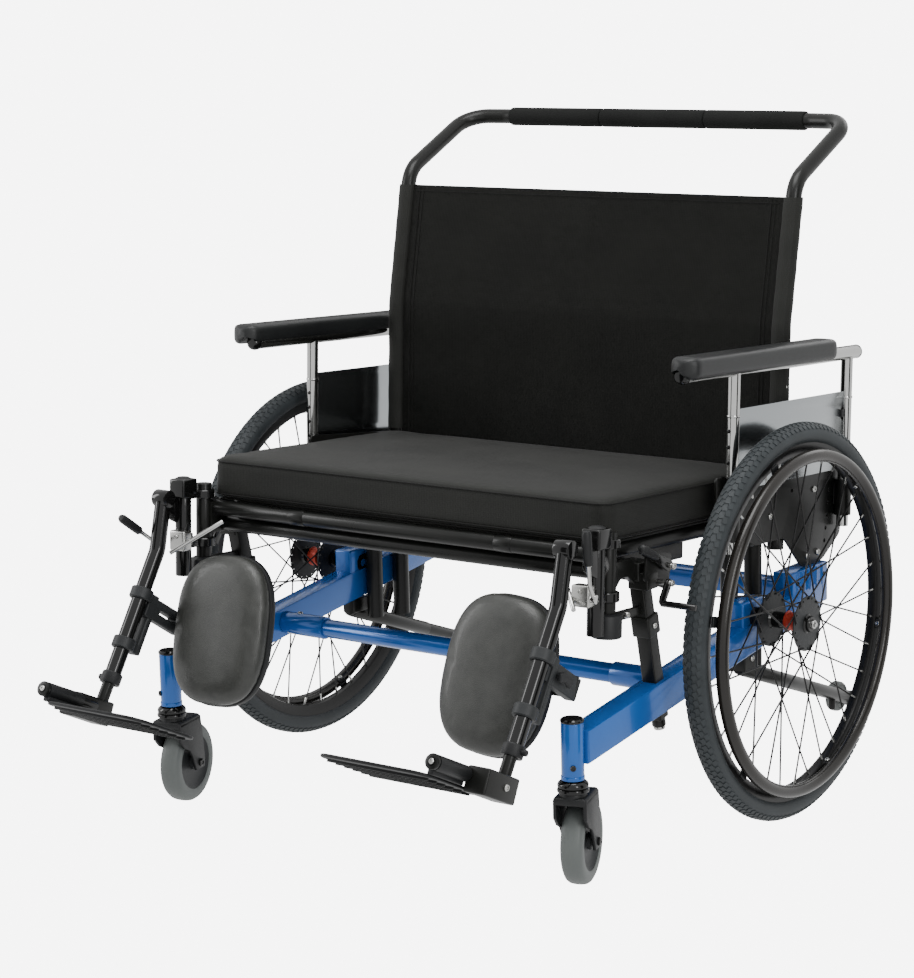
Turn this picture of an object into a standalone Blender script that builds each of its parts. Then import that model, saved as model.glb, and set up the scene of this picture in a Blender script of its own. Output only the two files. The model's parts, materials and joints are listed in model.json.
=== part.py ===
"""Wide manual wheelchair with a rigid telescoping base, swing-away elevating leg rests and height-adjustable arms.

Metres, +Z up, the chair faces -Y, origin on the floor under the middle of the chair.
Sizes along Y are counted from the rear axle, and the whole chair is then shifted by AXLE_Y.
"""
from math import cos, pi, radians, sin

import bmesh
import bpy
from mathutils import Matrix, Vector

# ---- driving sizes -------------------------------------------------------------------------------------------
GAP = 0.0003                    # clearance between touching pieces
SEAT_HALF = 0.372               # half the width of the cushion
SEAT_HEIGHT = 0.445             # centre of the seat tubes above the floor, over the axle
SEAT_TILT = radians(3.3)        # the seat falls towards the back
AXLE_Y = 0.206                  # rear axle behind the middle of the chair
TUBE = 0.0125                   # radius of the one inch frame tube

WHEEL_RADIUS = 0.305
TYRE_RADIUS = 0.0175            # radius of the tyre's section
WHEEL_X = SEAT_HALF + 0.094
RIM_DEPTH = 0.017
RIM_WIDTH = 0.023
FLANGE_RADIUS = 0.0425
FLANGE_SPACING = 0.0606
SPOKES = 36
SPOKE_RADIUS = 0.0012
SPOKE_LEAD = radians(7.0)         # spokes lean a little to each side and stay clear of each other
AXLE_RADIUS = 0.00635
HANDRIM_RADIUS = 0.2665
HANDRIM_TUBE = 0.010
HANDRIM_X = WHEEL_X + 0.0265

BEAM_X = SEAT_HALF + 0.010
BEAM_WIDTH = 0.038
BEAM_HEIGHT = 0.049
BEAM_FRONT_Y = -0.470
BEAM_REAR_Y = 0.212
BEAM_FRONT_Z = 0.2125           # centre line at the front end
BEAM_SLOPE = 0.1285
HOUSING_RADIUS = 0.0165

CASTER_X = SEAT_HALF + 0.007
CASTER_Y = -0.478
CASTER_RADIUS = 0.0635
CASTER_WIDTH = 0.034
CASTER_TRAIL = 0.0405
STEM_TOP = 0.250
STEM_BOTTOM = 0.166
STEM_RADIUS = 0.009

RAIL_X = SEAT_HALF - 0.026
PLATE_X = SEAT_HALF + 0.0175
PLATE_THICK = 0.004
CANE_X = SEAT_HALF + 0.0015
ARM_X = SEAT_HALF + 0.032
SEAT_FRONT = -0.3707            # front seat tube, along the seat
SEAT_REAR = 0.085               # rear seat tube
CUSHION_FRONT = -0.368
CUSHION_REAR = 0.093
CUSHION_THICK = 0.058
PAN_THICK = 0.010

CANE_U = 0.112
CANE_BEND_W = 0.300
CANE_LEAN = radians(8.0)
BACK_TOP_W = 0.498
GRIP_RADIUS = 0.0155
GRIP_HALF = 0.301

ARM_FRONT_U = -0.081
ARM_REAR_U = 0.274
ARM_POST = 0.0095
ARM_TUBE = 0.011
ARM_W = 0.249
ARM_TUBE_FRONT = -0.227
ARM_TUBE_REAR = 0.304

MOUNT_X = SEAT_HALF + 0.008     # upright post that a leg rest hangs on
MOUNT_U = -0.382
HANGER_X = SEAT_HALF + 0.015
HANGER_U = -0.4227
LEG_X = SEAT_HALF + 0.002
LEG_PIVOT = (-0.4833, 0.0252)
LEG_BEND = (-0.4978, -0.0538)
LEG_ANGLE = radians(29.7)
LEG_LENGTH = 0.212              # bend to collar
FOOT_DROP = 0.275               # bend to foot bracket
FOOT_PITCH = radians(7.0)
FOOT_TUBE = 0.0095
FOOTPLATE_LENGTH = 0.146
FOOTPLATE_WIDTH = 0.225
PAD_WIDTH = 0.180
PAD_LENGTH = 0.235

SIDES = (("left", 1), ("right", -1))

for old in list(bpy.data.objects):
    bpy.data.objects.remove(old)

chair = bpy.data.collections.new("manual_wheelchair")
shapes = bpy.data.collections.new("shapes")
bpy.context.scene.collection.children.link(chair)
bpy.context.scene.collection.children.link(shapes)


# ---- finishes ------------------------------------------------------------------------------------------------
def finish(name, colour, roughness, metallic=0.0):
    material = bpy.data.materials.new(name)
    material.use_nodes = True
    shader = material.node_tree.nodes["Principled BSDF"]
    shader.inputs["Base Color"].default_value = (*colour, 1.0)
    shader.inputs["Roughness"].default_value = roughness
    shader.inputs["Metallic"].default_value = metallic
    material.diffuse_color = (*colour, 1.0)
    return material


FINISHES = {
    "blue_paint": finish("blue_paint", (0.02, 0.14, 0.46), 0.28, 0.1),
    "black_paint": finish("black_paint", (0.02, 0.02, 0.021), 0.38),
    "chrome": finish("chrome", (0.82, 0.82, 0.82), 0.1, 1.0),
    "aluminium": finish("aluminium", (0.62, 0.64, 0.65), 0.3, 1.0),
    "tyre": finish("tyre", (0.06, 0.065, 0.07), 0.8),
    "grey_tyre": finish("grey_tyre", (0.13, 0.135, 0.135), 0.7),
    "black_plastic": finish("black_plastic", (0.03, 0.03, 0.032), 0.5),
    "vinyl": finish("vinyl", (0.05, 0.05, 0.048), 0.45),
    "foam": finish("foam", (0.02, 0.02, 0.02), 0.95),
    "fabric": finish("fabric", (0.03, 0.032, 0.028), 0.9),
}


# ---- shapes --------------------------------------------------------------------------------------------------
def shape_from(bm, name="shape"):
    """Keep a bmesh as an object in the shapes collection."""
    bmesh.ops.recalc_face_normals(bm, faces=bm.faces)
    if bm.calc_volume(signed=True) < 0:
        bmesh.ops.reverse_faces(bm, faces=bm.faces)
    mesh = bpy.data.meshes.new(name)
    bm.to_mesh(mesh)
    bm.free()
    obj = bpy.data.objects.new(name, mesh)
    shapes.objects.link(obj)
    return obj


def bake(obj):
    """Replace an object by the mesh that its modifiers or its curve give."""
    bpy.context.view_layer.update()
    evaluated = obj.evaluated_get(bpy.context.evaluated_depsgraph_get())
    mesh = bpy.data.meshes.new_from_object(evaluated)
    bm = bmesh.new()
    bm.from_mesh(mesh)
    bm.transform(obj.matrix_world)
    bmesh.ops.remove_doubles(bm, verts=bm.verts, dist=0.000005)
    bpy.data.objects.remove(obj)
    return bm


def box(low, high, bevel=0.0):
    low, high = Vector(low), Vector(high)
    low, high = Vector(map(min, low, high)), Vector(map(max, low, high))
    bm = bmesh.new()
    bmesh.ops.create_cube(bm, size=1.0)
    bmesh.ops.scale(bm, vec=high - low, verts=bm.verts)
    bmesh.ops.translate(bm, vec=(low + high) / 2, verts=bm.verts)
    if bevel:
        bmesh.ops.bevel(bm, geom=bm.edges[:], offset=bevel, segments=1, profile=0.5, affect="EDGES", material=-1)
    return shape_from(bm)


def cylinder(start, end, radius, sides=12, end_radius=None):
    start, end = Vector(start), Vector(end)
    along = end - start
    turn = along.to_track_quat("Z", "Y").to_matrix().to_4x4()
    bm = bmesh.new()
    bmesh.ops.create_cone(bm, cap_ends=True, segments=sides, radius1=radius, depth=along.length,
                          radius2=radius if end_radius is None else end_radius)
    bm.transform(Matrix.Translation((start + end) / 2) @ turn)
    return shape_from(bm)


def turned(profile, centre, axis, steps=32, ring=False):
    """Screw a profile of (radius, height) points round an axis."""
    mesh = bpy.data.meshes.new("profile")
    points = [(radius, 0.0, height) for radius, height in profile]
    edges = [(i, i + 1) for i in range(len(points) - 1)]
    if ring:
        edges.append((len(points) - 1, 0))
    mesh.from_pydata(points, edges, [])
    obj = bpy.data.objects.new("profile", mesh)
    shapes.objects.link(obj)
    screw = obj.modifiers.new("Screw", "SCREW")
    screw.steps = steps
    screw.render_steps = steps
    screw.use_merge_vertices = True
    screw.merge_threshold = 0.00001
    bm = bake(obj)
    turn = Vector(axis).to_track_quat("Z", "Y").to_matrix().to_4x4()
    bm.transform(Matrix.Translation(centre) @ turn)
    return shape_from(bm)


def rounded(points, radius, steps=4):
    """Replace each inner corner of a route by an arc."""
    route = [Vector(points[0])]
    for before, corner, after in zip(points, points[1:], points[2:]):
        before, corner, after = Vector(before), Vector(corner), Vector(after)
        arm_in, arm_out = (before - corner).normalized(), (after - corner).normalized()
        bend = arm_in.angle(arm_out)
        reach = radius / max(0.001, (sin(bend / 2) / cos(bend / 2)))
        middle = (arm_in + arm_out).normalized() * (radius / sin(bend / 2)) + corner
        first, last = corner + arm_in * reach - middle, corner + arm_out * reach - middle
        for step in range(steps + 1):
            route.append(middle + first.slerp(last, step / steps).normalized() * radius)
    route.append(Vector(points[-1]))
    return route


def tube(points, radius, bend=None, sides=2):
    """A round bar or tube along a route, with filled ends."""
    route = rounded(points, bend) if bend else [Vector(p) for p in points]
    curve = bpy.data.curves.new("route", "CURVE")
    curve.dimensions = "3D"
    curve.bevel_depth = radius
    curve.bevel_resolution = sides
    curve.use_fill_caps = True
    spline = curve.splines.new("POLY")
    spline.points.add(len(route) - 1)
    for point, place in zip(spline.points, route):
        point.co = (*place, 1.0)
    obj = bpy.data.objects.new("route", curve)
    shapes.objects.link(obj)
    return shape_from(bake(obj))


def slab(outline, low_z, high_z):
    """A flat outline of (x, y) points with its thickness along Z."""
    curve = bpy.data.curves.new("outline", "CURVE")
    curve.dimensions = "2D"
    curve.fill_mode = "BOTH"
    curve.extrude = abs(high_z - low_z) / 2
    spline = curve.splines.new("POLY")
    spline.points.add(len(outline) - 1)
    for point, (x, y) in zip(spline.points, outline):
        point.co = (x, y, 0.0, 1.0)
    spline.use_cyclic_u = True
    obj = bpy.data.objects.new("outline", curve)
    shapes.objects.link(obj)
    bm = bake(obj)
    bm.transform(Matrix.Translation((0, 0, (low_z + high_z) / 2)))
    return shape_from(bm)


def sheet(outline, low_x, high_x):
    """A flat outline of (y, z) points with its thickness along X."""
    return moved(slab(outline, low_x, high_x), Matrix(((0, 0, 1, 0), (1, 0, 0, 0), (0, 1, 0, 0), (0, 0, 0, 1))))


def moved(obj, matrix):
    obj.data.transform(matrix)
    return obj


def fuse(solids, cuts=()):
    """Join solids into one body and take the cuts out of it."""
    base = solids[0]
    operands = [(solid, "UNION") for solid in solids[1:]] + [(cut, "DIFFERENCE") for cut in cuts]
    for operand, operation in operands:
        modifier = base.modifiers.new(operation, "BOOLEAN")
        modifier.operation = operation
        modifier.solver = "EXACT"
        modifier.object = operand
    bm = bake(base)
    for operand, _ in operands:
        bpy.data.objects.remove(operand)
    bmesh.ops.dissolve_degenerate(bm, dist=0.000002, edges=bm.edges)
    return shape_from(bm)


def piece(name, solid, parent, finish_name, origin=(0.0, 0.0, 0.0), smooth=True):
    """Name a solid, hang it on its frame and put its origin where it turns or slides."""
    solid.name = name
    solid.data.name = name
    solid.data.transform(Matrix.Translation(-Vector(origin)))
    solid.location = origin
    solid.parent = parent
    solid.data.materials.clear()
    solid.data.materials.append(FINISHES[finish_name])
    if smooth:
        solid.data.shade_smooth()
        solid.data.set_sharp_from_angle(angle=radians(35))
    shapes.objects.unlink(solid)
    chair.objects.link(solid)
    return solid


def frame_at(name, parent, place, turn_x=0.0):
    """An empty that carries the pieces of one assembly."""
    empty = bpy.data.objects.new(name, None)
    empty.location = place
    empty.rotation_euler = (turn_x, 0.0, 0.0)
    empty.empty_display_size = 0.05
    empty.parent = parent
    chair.objects.link(empty)
    return empty


def clear(radius, sides=12):
    """Radius of a faceted bore that leaves a gap round a shaft of this radius."""
    return (radius + GAP) / cos(pi / sides)


def rounded_outline(half_x, half_y, corner):
    """Corners of a rounded rectangle round the origin."""
    points = []
    for sx, sy, start in ((1, -1, -90), (1, 1, 0), (-1, 1, 90), (-1, -1, 180)):
        for i in range(5):
            a = radians(start + 22.5 * i)
            points.append((sx * (half_x - corner) + corner * cos(a), sy * (half_y - corner) + corner * sin(a)))
    return points


def padded_form(outline, half_x, half_y, layers):
    """Loft an outline through (inset, height) layers."""
    bm = bmesh.new()
    rings = []
    for inset, height in layers:
        scale_x, scale_y = 1 - inset / half_x, 1 - inset / half_y
        rings.append([bm.verts.new((x * scale_x, y * scale_y, height)) for x, y in outline])
    for lower, upper in zip(rings, rings[1:]):
        for i in range(len(outline)):
            bm.faces.new((lower[i - 1], lower[i], upper[i], upper[i - 1]))
    bm.faces.new(rings[0])
    bm.faces.new(rings[-1])
    return shape_from(bm)


def circle(radius, count, phase=0.0):
    return [(radius * cos(2 * pi * i / count + phase), radius * sin(2 * pi * i / count + phase))
            for i in range(count)]


def beam_z(y):
    """Height of a base beam's centre line."""
    return BEAM_FRONT_Z + BEAM_SLOPE * (y - BEAM_FRONT_Y)


floor = frame_at("floor", None, (0.0, AXLE_Y, 0.0))
seat = frame_at("seat", floor, (0.0, 0.0, SEAT_HEIGHT), -SEAT_TILT)


# ---- base ----------------------------------------------------------------------------------------------------
POST_TOP = Vector((0.0, -0.303, 0.424))
POST_FOOT = Vector((0.0, -0.255, 0.203))
CROSS_Y = -0.210
REAR_CROSS_Y = 0.190
BLOCK_TOP = 0.349


def base_beam(side):
    inner, outer = BEAM_X - BEAM_WIDTH / 2, BEAM_X + BEAM_WIDTH / 2
    half = BEAM_HEIGHT / 2
    ends = (BEAM_FRONT_Y + 0.004, BEAM_REAR_Y)
    outline = [(ends[0], beam_z(ends[0]) - half), (ends[1], beam_z(ends[1]) - half),
               (ends[1], beam_z(ends[1]) + half), (ends[0], beam_z(ends[0]) + half)]
    rail = sheet(outline, side * inner, side * outer)
    housing = cylinder((side * CASTER_X, CASTER_Y, STEM_BOTTOM), (side * CASTER_X, CASTER_Y, STEM_TOP),
                       HOUSING_RADIUS, 14)
    block = box((side * (inner + 0.001), 0.118, beam_z(0.118)), (side * (outer - 0.001), 0.232, BLOCK_TOP))
    axle_block = box((side * (inner + 0.002), -0.034, beam_z(0.0)),
                     (side * (outer - 0.002), 0.034, WHEEL_RADIUS + 0.026), 0.003)
    receiver = cylinder((side * (inner + 0.0005), 0.0, WHEEL_RADIUS), (side * (outer + 0.010), 0.0, WHEEL_RADIUS),
                        0.0155, 14)
    bore = cylinder((side * (inner - 0.02), 0.0, WHEEL_RADIUS), (side * (outer + 0.03), 0.0, WHEEL_RADIUS),
                    clear(AXLE_RADIUS), 12)
    stem_bore = cylinder((side * CASTER_X, CASTER_Y, STEM_BOTTOM - 0.01),
                         (side * CASTER_X, CASTER_Y, STEM_TOP + 0.01), clear(STEM_RADIUS), 12)
    along = (POST_FOOT - POST_TOP).normalized()
    post_hole = cylinder(POST_TOP - along * 0.05 + Vector((side * BEAM_X, 0, 0)),
                         POST_FOOT + along * 0.05 + Vector((side * BEAM_X, 0, 0)), clear(TUBE), 12)
    return fuse([rail, housing, block, axle_block, receiver], [bore, stem_bore, post_hole])


def seat_post(side):
    """Slanted tube that stands through the beam and carries the front of the seat."""
    at = Vector((side * BEAM_X, 0, 0))
    post = cylinder(at + POST_TOP, at + POST_FOOT, TUBE, 12)
    lug = box((side * (RAIL_X + TUBE + GAP), POST_TOP.y - 0.014, POST_TOP.z - 0.004),
              (side * (BEAM_X + 0.006), POST_TOP.y + 0.014, POST_TOP.z + 0.026), 0.002)
    collar = cylinder(at + POST_TOP.lerp(POST_FOOT, 0.30), at + POST_TOP.lerp(POST_FOOT, 0.44), TUBE + 0.0035, 12)
    return fuse([post, lug, collar])


def base_cross_tube():
    reach = BEAM_X - BEAM_WIDTH / 2 - GAP
    height = beam_z(CROSS_Y)
    tube_solid = cylinder((-reach, CROSS_Y, height), (reach, CROSS_Y, height), 0.0155, 14)
    sleeves = [cylinder((side * (reach - 0.085), CROSS_Y, height), (side * reach, CROSS_Y, height), 0.0185, 14)
               for _, side in SIDES]
    return fuse([tube_solid, *sleeves])


def base_rear_tube():
    reach = BEAM_X - BEAM_WIDTH / 2 - GAP
    height = beam_z(REAR_CROSS_Y) + 0.008
    return box((-reach, REAR_CROSS_Y - 0.019, height - 0.015), (reach, REAR_CROSS_Y + 0.019, height + 0.015), 0.002)


TIP_START = Vector((0.0, -0.020, 0.226))
TIP_END = Vector((0.0, 0.338, 0.094))
TIP_WHEEL_RADIUS = 0.025


def anti_tip_tube(side):
    at = Vector((side * BEAM_X, 0, 0))
    bar = cylinder(at + TIP_START, at + TIP_END, 0.011, 12)
    hanger = box((side * (BEAM_X - 0.012), TIP_START.y - 0.002, TIP_START.z - 0.008),
                 (side * (BEAM_X + 0.012), TIP_START.y + 0.040, beam_z(-0.03) - BEAM_HEIGHT / 2 - GAP * 2))
    ear = cylinder(at + TIP_END + Vector((side * 0.011, 0, 0)), at + TIP_END - Vector((side * 0.011, 0, 0)),
                   0.0125, 12)
    axle = cylinder(at + TIP_END, at + TIP_END - Vector((side * 0.034, 0, 0)), 0.004, 12)
    knob = cylinder(at + TIP_START.lerp(TIP_END, 0.84), at + TIP_START.lerp(TIP_END, 0.84) - Vector((0, 0, 0.026)),
                    0.006, 12)
    return fuse([bar, hanger, ear, axle, knob])


def anti_tip_wheel(side):
    hub = BEAM_X - 0.0225
    bore = clear(0.004, 14)
    profile = [(bore, -0.0095), (0.021, -0.0095), (0.0235, -0.008), (TIP_WHEEL_RADIUS, -0.003),
               (TIP_WHEEL_RADIUS, 0.003), (0.0235, 0.008), (0.021, 0.0095), (bore, 0.0095)]
    return turned(profile, (side * hub, TIP_END.y, TIP_END.z), (1, 0, 0), 14, ring=True)


for name, side in SIDES:
    piece(f"base_beam_{name}", base_beam(side), floor, "blue_paint")
    piece(f"seat_post_{name}", seat_post(side), floor, "black_paint")
    piece(f"anti_tip_tube_{name}", anti_tip_tube(side), floor, "black_paint")
    piece(f"anti_tip_wheel_{name}", anti_tip_wheel(side), floor, "grey_tyre",
          (side * (BEAM_X - 0.0225), TIP_END.y, TIP_END.z))
piece("base_cross_tube", base_cross_tube(), floor, "blue_paint")
piece("base_rear_tube", base_rear_tube(), floor, "blue_paint", smooth=False)


# ---- rear wheels ---------------------------------------------------------------------------------------------
RIM_OUTER = WHEEL_RADIUS - 2 * TYRE_RADIUS + 0.004
RIM_INNER = RIM_OUTER - RIM_DEPTH


def wheel_tyre(side):
    centre = WHEEL_RADIUS - TYRE_RADIUS
    profile = [(centre + TYRE_RADIUS * cos(a), TYRE_RADIUS * sin(a))
               for a in [radians(-120 + 40 * i) for i in range(7)]]
    low = RIM_OUTER + GAP
    profile = [(low, -0.009)] + [(max(r, low + 0.001), h) for r, h in profile] + [(low, 0.009)]
    return turned(profile, (side * WHEEL_X, 0, WHEEL_RADIUS), (1, 0, 0), 36, ring=True)


def wheel_rim(side):
    half = RIM_WIDTH / 2
    profile = [(RIM_INNER, -0.005), (RIM_OUTER - 0.003, -half), (RIM_OUTER, -half + 0.002),
               (RIM_OUTER, half - 0.002), (RIM_OUTER - 0.003, half), (RIM_INNER, 0.005)]
    return turned(profile, (side * WHEEL_X, 0, WHEEL_RADIUS), (1, 0, 0), 36, ring=True)


def wheel_hub(side):
    """Drilled flanges, barrel, quick release axle and the crossed spokes."""
    centre = WHEEL_X - 0.0065
    axle = Vector((0, 0, WHEEL_RADIUS))
    profile = [(0.0, -0.041), (0.009, -0.041), (0.010, -FLANGE_SPACING / 2 - 0.003),
               (FLANGE_RADIUS, -FLANGE_SPACING / 2 - 0.0015), (FLANGE_RADIUS, -FLANGE_SPACING / 2 + 0.0015),
               (0.019, -FLANGE_SPACING / 2 + 0.004), (0.0165, -0.018), (0.0165, 0.018),
               (0.019, FLANGE_SPACING / 2 - 0.004), (FLANGE_RADIUS, FLANGE_SPACING / 2 - 0.0015),
               (FLANGE_RADIUS, FLANGE_SPACING / 2 + 0.0015), (0.014, FLANGE_SPACING / 2 + 0.003),
               (0.012, 0.040), (0.0075, 0.0405), (0.007, 0.047), (0.0, 0.047)]
    body = turned(profile, (side * centre, 0, WHEEL_RADIUS), (side, 0, 0), 12)
    pin = cylinder((side * (centre - 0.030), 0, WHEEL_RADIUS), (side * (BEAM_X - 0.0185), 0, WHEEL_RADIUS),
                   AXLE_RADIUS, 12)
    spokes = []
    for i in range(SPOKES):
        flange_side = 1 if i % 2 else -1
        lead = 1 if (i // 2) % 2 else -1
        rim_angle = 2 * pi * i / SPOKES
        hub_angle = rim_angle + lead * SPOKE_LEAD
        lift = flange_side * FLANGE_SPACING / 2
        start = axle + Vector((side * (centre + lift), cos(hub_angle) * (FLANGE_RADIUS - 0.004),
                               sin(hub_angle) * (FLANGE_RADIUS - 0.004)))
        end = axle + Vector((side * WHEEL_X, cos(rim_angle) * (RIM_INNER - 0.0012),
                             sin(rim_angle) * (RIM_INNER - 0.0012)))
        spokes.append(cylinder(start, end, SPOKE_RADIUS, 3))
    return fuse([body, pin, *spokes])


def handrim(side):
    ring = turned([(HANDRIM_RADIUS - HANDRIM_TUBE + a, b) for a, b in circle(HANDRIM_TUBE, 8, pi / 8)],
                  (side * HANDRIM_X, 0, WHEEL_RADIUS), (1, 0, 0), 36, ring=True)
    tabs = []
    for i in range(6):
        tab = box((side * (WHEEL_X + RIM_WIDTH / 2 + 0.0008), -0.009, HANDRIM_RADIUS - 0.014),
                  (side * (HANDRIM_X - 0.004), 0.009, HANDRIM_RADIUS - 0.008))
        foot = box((side * (WHEEL_X + RIM_WIDTH / 2 + GAP), -0.008, RIM_OUTER - 0.013),
                   (side * (WHEEL_X + RIM_WIDTH / 2 + 0.003), 0.008, HANDRIM_RADIUS - 0.009))
        turn = Matrix.Translation((0, 0, WHEEL_RADIUS)) @ Matrix.Rotation(radians(60 * i + 12), 4, "X")
        tabs += [moved(tab, turn), moved(foot, turn)]
    return fuse([ring, *tabs])


for name, side in SIDES:
    centre = (side * WHEEL_X, 0.0, WHEEL_RADIUS)
    piece(f"tyre_{name}", wheel_tyre(side), floor, "tyre", centre)
    piece(f"rim_{name}", wheel_rim(side), floor, "black_paint", centre)
    piece(f"hub_{name}", wheel_hub(side), floor, "black_paint", centre)
    piece(f"handrim_{name}", handrim(side), floor, "black_paint", centre)


# ---- casters -------------------------------------------------------------------------------------------------
CASTER_TURN = {"left": radians(17.8), "right": radians(12.1)}


def caster_fork():
    """Stem, bearing caps, crown and two legs, with the stem at the origin and the wheel behind it."""
    crown = 2 * CASTER_RADIUS + 0.004
    stem = cylinder((0, 0, crown), (0, 0, STEM_TOP + 0.006), STEM_RADIUS, 12)
    lower_cap = cylinder((0, 0, crown + 0.006), (0, 0, STEM_BOTTOM - GAP), 0.021, 14)
    upper_cap = cylinder((0, 0, STEM_TOP + GAP), (0, 0, STEM_TOP + 0.008), 0.0175, 24, 0.014)
    head = box((-0.026, -0.022, crown), (0.026, CASTER_TRAIL + 0.002, crown + 0.012), 0.003)
    legs = []
    for x in (-1, 1):
        outline = [(CASTER_TRAIL - 0.013, CASTER_RADIUS - 0.008), (CASTER_TRAIL + 0.013, CASTER_RADIUS - 0.008),
                   (CASTER_TRAIL + 0.013, CASTER_RADIUS + 0.012), (CASTER_TRAIL - 0.002, crown + 0.006),
                   (-0.018, crown + 0.006), (-0.018, crown - 0.018)]
        legs.append(sheet(outline, x * (CASTER_WIDTH / 2 + 0.003), x * (CASTER_WIDTH / 2 + 0.008)))
    axle = cylinder((-CASTER_WIDTH / 2 - 0.012, CASTER_TRAIL, CASTER_RADIUS),
                    (CASTER_WIDTH / 2 + 0.012, CASTER_TRAIL, CASTER_RADIUS), 0.004, 12)
    return fuse([stem, lower_cap, upper_cap, head, *legs, axle])


def caster_wheel():
    half = CASTER_WIDTH / 2
    profile = [(clear(0.004, 18), -half - 0.002), (0.012, -half - 0.002), (0.014, -half + 0.006),
               (0.036, -half + 0.006), (0.043, -half + 0.001), (CASTER_RADIUS - 0.008, -half),
               (CASTER_RADIUS - 0.002, -half + 0.007), (CASTER_RADIUS, -half + 0.013)]
    profile += [(radius, -height) for radius, height in reversed(profile)]
    return turned(profile, (0, CASTER_TRAIL, CASTER_RADIUS), (1, 0, 0), 18, ring=True)


for name, side in SIDES:
    swivel = bpy.data.objects.new(f"caster_frame_{name}", None)
    swivel.location = (side * CASTER_X, CASTER_Y, 0.0)
    swivel.rotation_euler = (0.0, 0.0, CASTER_TURN[name])
    swivel.parent = floor
    chair.objects.link(swivel)
    piece(f"caster_fork_{name}", caster_fork(), swivel, "black_plastic")
    piece(f"caster_wheel_{name}", caster_wheel(), swivel, "grey_tyre", (0, CASTER_TRAIL, CASTER_RADIUS))


# ---- seat frame, in the tilted frame: x, u back along the seat, w above the seat tubes -----------------------
def seat_front_tube():
    """Two cross tubes and the upright posts that the leg rests hang on."""
    upper = cylinder((-MOUNT_X, SEAT_FRONT, 0), (MOUNT_X, SEAT_FRONT, 0), TUBE, 12)
    lower = cylinder((-MOUNT_X + 0.004, SEAT_FRONT + 0.020, -0.027), (MOUNT_X - 0.004, SEAT_FRONT + 0.020, -0.027),
                     TUBE, 12)
    solids = [upper, lower]
    for _, side in SIDES:
        solids.append(cylinder((side * MOUNT_X, MOUNT_U, -0.114), (side * MOUNT_X, MOUNT_U, 0.038), TUBE, 12))
        solids.append(cylinder((side * MOUNT_X, MOUNT_U, -0.1145), (side * MOUNT_X, MOUNT_U, -0.080), 0.022, 14))
        solids.append(sheet([(MOUNT_U - 0.002, 0.009), (SEAT_FRONT + 0.004, 0.010), (SEAT_FRONT + 0.030, -0.018),
                             (SEAT_FRONT + 0.030, -0.040), (MOUNT_U - 0.002, -0.040)],
                            side * (MOUNT_X - 0.017), side * (MOUNT_X - 0.008)))
    return fuse(solids)


def seat_rail(side):
    rail = cylinder((side * RAIL_X, SEAT_FRONT + TUBE + 0.0215, 0), (side * RAIL_X, 0.300, 0), TUBE, 12)
    shelf = box((side * (RAIL_X - 0.006), SEAT_FRONT + 0.06, -0.036), (side * (RAIL_X + 0.006), -0.13, -0.006), 0.002)
    return fuse([rail, shelf])


def seat_rear_tube():
    reach = RAIL_X - TUBE - GAP
    return cylinder((-reach, SEAT_REAR, 0), (reach, SEAT_REAR, 0), TUBE, 12)


def seat_pan():
    low = TUBE + GAP
    return box((-SEAT_HALF + 0.012, CUSHION_FRONT + 0.006, low), (SEAT_HALF - 0.012, CUSHION_REAR, low + PAN_THICK),
               0.003)


def seat_cushion():
    half_u = (CUSHION_REAR - CUSHION_FRONT) / 2
    layers = [(0.004, 0.0), (0.0, 0.006), (0.0, CUSHION_THICK - 0.012), (0.007, CUSHION_THICK - 0.002),
              (0.020, CUSHION_THICK)]
    form = padded_form(rounded_outline(SEAT_HALF, half_u, 0.030), SEAT_HALF, half_u, layers)
    return moved(form, Matrix.Translation((0, (CUSHION_REAR + CUSHION_FRONT) / 2, TUBE + PAN_THICK + 2 * GAP)))


def in_seat(y, z):
    """Turn a place measured from the floor into the seat's frame."""
    rise = z - SEAT_HEIGHT
    return y * cos(SEAT_TILT) - rise * sin(SEAT_TILT), y * sin(SEAT_TILT) + rise * cos(SEAT_TILT)


STUBS = ((0.010, 0.212), (0.083, 0.203))
STUB_X = RAIL_X + 0.002
STUB_RADIUS = 0.014


def rear_plate(side):
    """Perforated side plate with the arm sockets and the two hanging tubes, measured from the floor."""
    foot = BLOCK_TOP + GAP
    outline = [(-0.100, 0.478), (0.014, 0.412), (0.105, 0.408), (0.163, foot), (0.228, foot),
               (0.290, 0.384), (0.292, 0.486), (0.200, 0.503), (-0.100, 0.538)]
    low, high = PLATE_X - PLATE_THICK / 2, PLATE_X + PLATE_THICK / 2
    plate = sheet(outline, side * low, side * high)
    solids, cuts = [plate], []
    for u in (ARM_FRONT_U, ARM_REAR_U):
        solids.append(moved(cylinder((side * ARM_X, u, -0.012), (side * ARM_X, u, 0.046), ARM_POST + 0.004, 12),
                            seat_matrix))
        solids.append(moved(box((side * PLATE_X, u - 0.008, 0.004), (side * (ARM_X - ARM_POST - 0.001), u + 0.008, 0.040)),
                            seat_matrix))
        cuts.append(moved(cylinder((side * ARM_X, u, -0.03), (side * ARM_X, u, 0.07), clear(ARM_POST), 12),
                          seat_matrix))
    for y, foot_z in STUBS:
        solids.append(cylinder((side * STUB_X, y, foot_z), (side * STUB_X, y, 0.4225), STUB_RADIUS, 12))
        solids.append(box((side * STUB_X, y - 0.007, 0.4115), (side * PLATE_X, y + 0.007, 0.4220)))
    through = (side * (PLATE_X - 0.02), side * (PLATE_X + 0.012))
    holes = [(0.252 - 0.004 * i, 0.460 - 0.020 * i) for i in range(5)]
    holes += [(0.030 + 0.05 * i, 0.488 - 0.0045 * i) for i in range(3)]
    for y, z in holes:
        cuts.append(cylinder((through[0], y, z), (through[1], y, z), 0.0035, 8))
    return fuse(solids, cuts)


seat_matrix = Matrix.Translation((0, 0, SEAT_HEIGHT)) @ Matrix.Rotation(-SEAT_TILT, 4, "X")

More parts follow.
